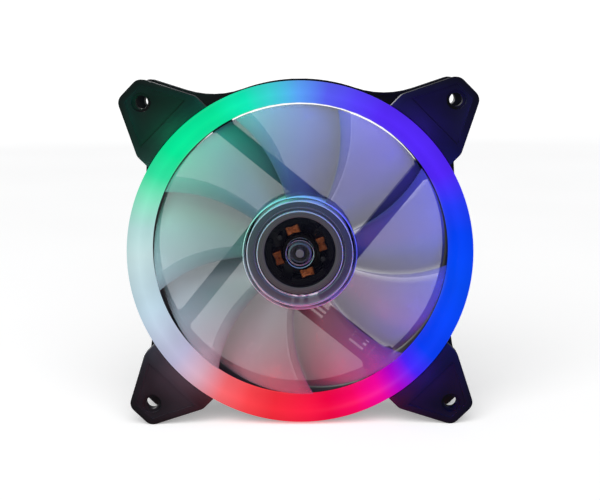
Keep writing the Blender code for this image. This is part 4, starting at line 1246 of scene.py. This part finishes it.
@dataclass
class Studio:
    """The pale floor, the soft light, the ring's own glow and the camera."""

    floor_z: float = -60.0
    floor_reach: float = 1400.0
    sweep_radius: float = 900.0
    wall_height: float = 2600.0
    bend_steps: int = 16
    floor_steps: int = 96
    camera_at: Place = (5.6, -340.6, 60.7)
    pan: float = -0.95
    tilt: float = 10.08
    roll: float = -0.52
    lens: float = 58.8
    room_level: float = 0.22
    floor_sun: float = 2.5
    floor_sun_spread: float = 70.0
    key_watts: float = 1.3
    key_size: float = 500.0
    key_at: Place = (-420.0, -620.0, 640.0)
    back_watts: float = 6.0
    back_size: float = 600.0
    back_at: Place = (-380.0, 640.0, 420.0)
    unlit_from_behind: tuple[str, ...] = ("blade", "impeller", "light_ring", "yoke", "coil")
    near_ring: tuple[str, ...] = ("frame", "blade", "impeller", "yoke", "cable", "lead")
    glow_radius: float = 58.0
    glow_front: float = -23.0
    glow_watts: float = 0.033
    glow_size: float = 5.0
    glow_count: int = 16

    def floor(self) -> None:
        """A pale seamless floor that sweeps up all round the fan."""
        top = self.floor_z + self.sweep_radius
        bend = arc((self.floor_reach, top), (self.sweep_radius,) * 2, -90.0, 0.0, self.bend_steps)
        profile = [(0.0, self.floor_z), *bend,
                   (self.floor_reach + self.sweep_radius, self.wall_height),
                   (0.0, self.wall_height)]
        floor = begin_outline("studio_floor",
                              [Vector((x * MM, 0.0, z * MM)) for x, z in profile], False)
        bpy.ops.mesh.spin(steps=self.floor_steps, angle=TURN, center=(0.0, 0.0, 0.0),
                          axis=(0.0, 0.0, 1.0), use_auto_merge=True)
        close_up(floor)
        bpy.ops.object.mode_set(mode="EDIT")
        bpy.ops.mesh.select_all(action="SELECT")
        bpy.ops.mesh.flip_normals()
        bpy.ops.object.mode_set(mode="OBJECT")
        bpy.ops.object.shade_smooth()
        floor.data.materials.append(PALE_BOARD.make())
        floor.visible_diffuse = False
        floor.visible_glossy = False
        floor.visible_shadow = False

    def lamp(self, name: str, kind: str, energy: float, lights: list[Piece] | None = None,
             **settings: Any) -> Piece:
        """Adds a lamp.

        Args:
            name: Its name.
            kind: Blender's type of light.
            energy: Its power in watts, or its strength if it is a sun.
            lights: The pieces it lights, if not all.
            **settings: Its other properties.

        Returns:
            The lamp.
        """
        data = bpy.data.lights.new(name, kind)
        data.energy = energy
        for setting, value in settings.items():
            setattr(data, setting, value)
        lamp = bpy.data.objects.new(name, data)
        if lights is not None:
            receivers = bpy.data.collections.new(f"lit_by_{name}")
            for piece in lights:
                receivers.objects.link(piece)
            lamp.light_linking.receiver_collection = receivers
        bpy.context.scene.collection.objects.link(lamp)
        return lamp

    def aimed(self, lamp: Piece, place: Place) -> None:
        """Puts a lamp at a place in millimetres and points it at the fan's middle."""
        lamp.location = Vector(place) * MM
        lamp.rotation_euler = (-lamp.location).to_track_quat("-Z", "Y").to_euler()

    def soft_light(self, lit: list[Piece]) -> None:
        """An even room with broad lamps in front, behind, and over the floor.

        Args:
            lit: The pieces, from which each lamp's own are picked.
        """
        world = bpy.data.worlds.new("studio_room")
        bpy.context.scene.world = world
        world.use_nodes = True
        room = world.node_tree.nodes["Background"]
        room.inputs["Color"].default_value = linear("#F4F5F7")
        room.inputs["Strength"].default_value = self.room_level
        self.aimed(self.lamp("key_light", "AREA", self.key_watts, size=self.key_size * MM),
                   self.key_at)
        backed = [piece for piece in lit if not piece.name.startswith(self.unlit_from_behind)]
        self.aimed(self.lamp("back_light", "AREA", self.back_watts, backed,
                             size=self.back_size * MM), self.back_at)
        above = self.lamp("floor_light", "SUN", self.floor_sun,
                          [bpy.data.objects["studio_floor"]],
                          angle=math.radians(self.floor_sun_spread))
        above.rotation_euler = Vector((0.0, 1.0, -1.0)).to_track_quat("-Z", "Y").to_euler()

    def ring_glow(self, lit: list[Piece]) -> None:
        """Small coloured lamps that carry the ring's light on to the pieces near it.

        Args:
            lit: The pieces, from which those near the ring are picked.
        """
        near = [piece for piece in lit if piece.name.startswith(self.near_ring)]
        for number in range(self.glow_count):
            degrees = 360.0 * number / self.glow_count
            code = min(RING_COLOURS, key=lambda stop: abs(stop[0] - degrees))[1]
            angle = math.radians(90.0 - degrees)
            lamp = self.lamp(f"ring_glow_{number + 1}", "POINT", self.glow_watts, near,
                             color=linear(code)[:3], shadow_soft_size=self.glow_size * MM)
            lamp.location = Vector((self.glow_radius * math.cos(angle), self.glow_front,
                                    self.glow_radius * math.sin(angle))) * MM
            lamp.visible_camera = False
            lamp.visible_glossy = False

    def camera(self) -> None:
        """The camera: in front, a little above and tilted down at the hub."""
        pan, tilt, roll = (math.radians(angle) for angle in (self.pan, self.tilt, self.roll))
        forward = Vector((math.sin(pan) * math.cos(tilt), math.cos(pan) * math.cos(tilt),
                          -math.sin(tilt)))
        level = forward.cross(Vector((0.0, 0.0, 1.0))).normalized()
        above = level.cross(forward)
        right = level * math.cos(roll) + above * math.sin(roll)
        up = above * math.cos(roll) - level * math.sin(roll)
        data = bpy.data.cameras.new("studio_camera")
        data.lens = self.lens
        data.sensor_width = 36.0
        data.clip_start = 0.01
        camera = bpy.data.objects.new("studio_camera", data)
        camera.matrix_world = Matrix.Translation(Vector(self.camera_at) * MM) @ Matrix(
            (right, up, -forward)).transposed().to_4x4()
        bpy.context.scene.collection.objects.link(camera)
        bpy.context.scene.camera = camera

    def build(self, lit: list[Piece]) -> None:
        """Sets up the floor, the lights and the camera."""
        self.floor()
        self.soft_light(lit)
        self.ring_glow(lit)
        self.camera()
        scene = bpy.context.scene
        scene.view_settings.view_transform = "Standard"
        scene.cycles.transparent_max_bounces = 32


def main() -> None:
    """Builds the fan round its frame, then the studio."""
    logging.basicConfig(level=logging.INFO, format="%(message)s")
    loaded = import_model()
    dresser = Dresser(loaded["nodes"], {}, [])
    assemblies = (Frame, LightRing, Impeller, RotorMetal, Stator, MotorBase, Leads)
    for assembly in assemblies:
        assembly().build(dresser)
    clear_selection()
    Studio().build(dresser.shown)


if __name__ == "__main__":
    main()
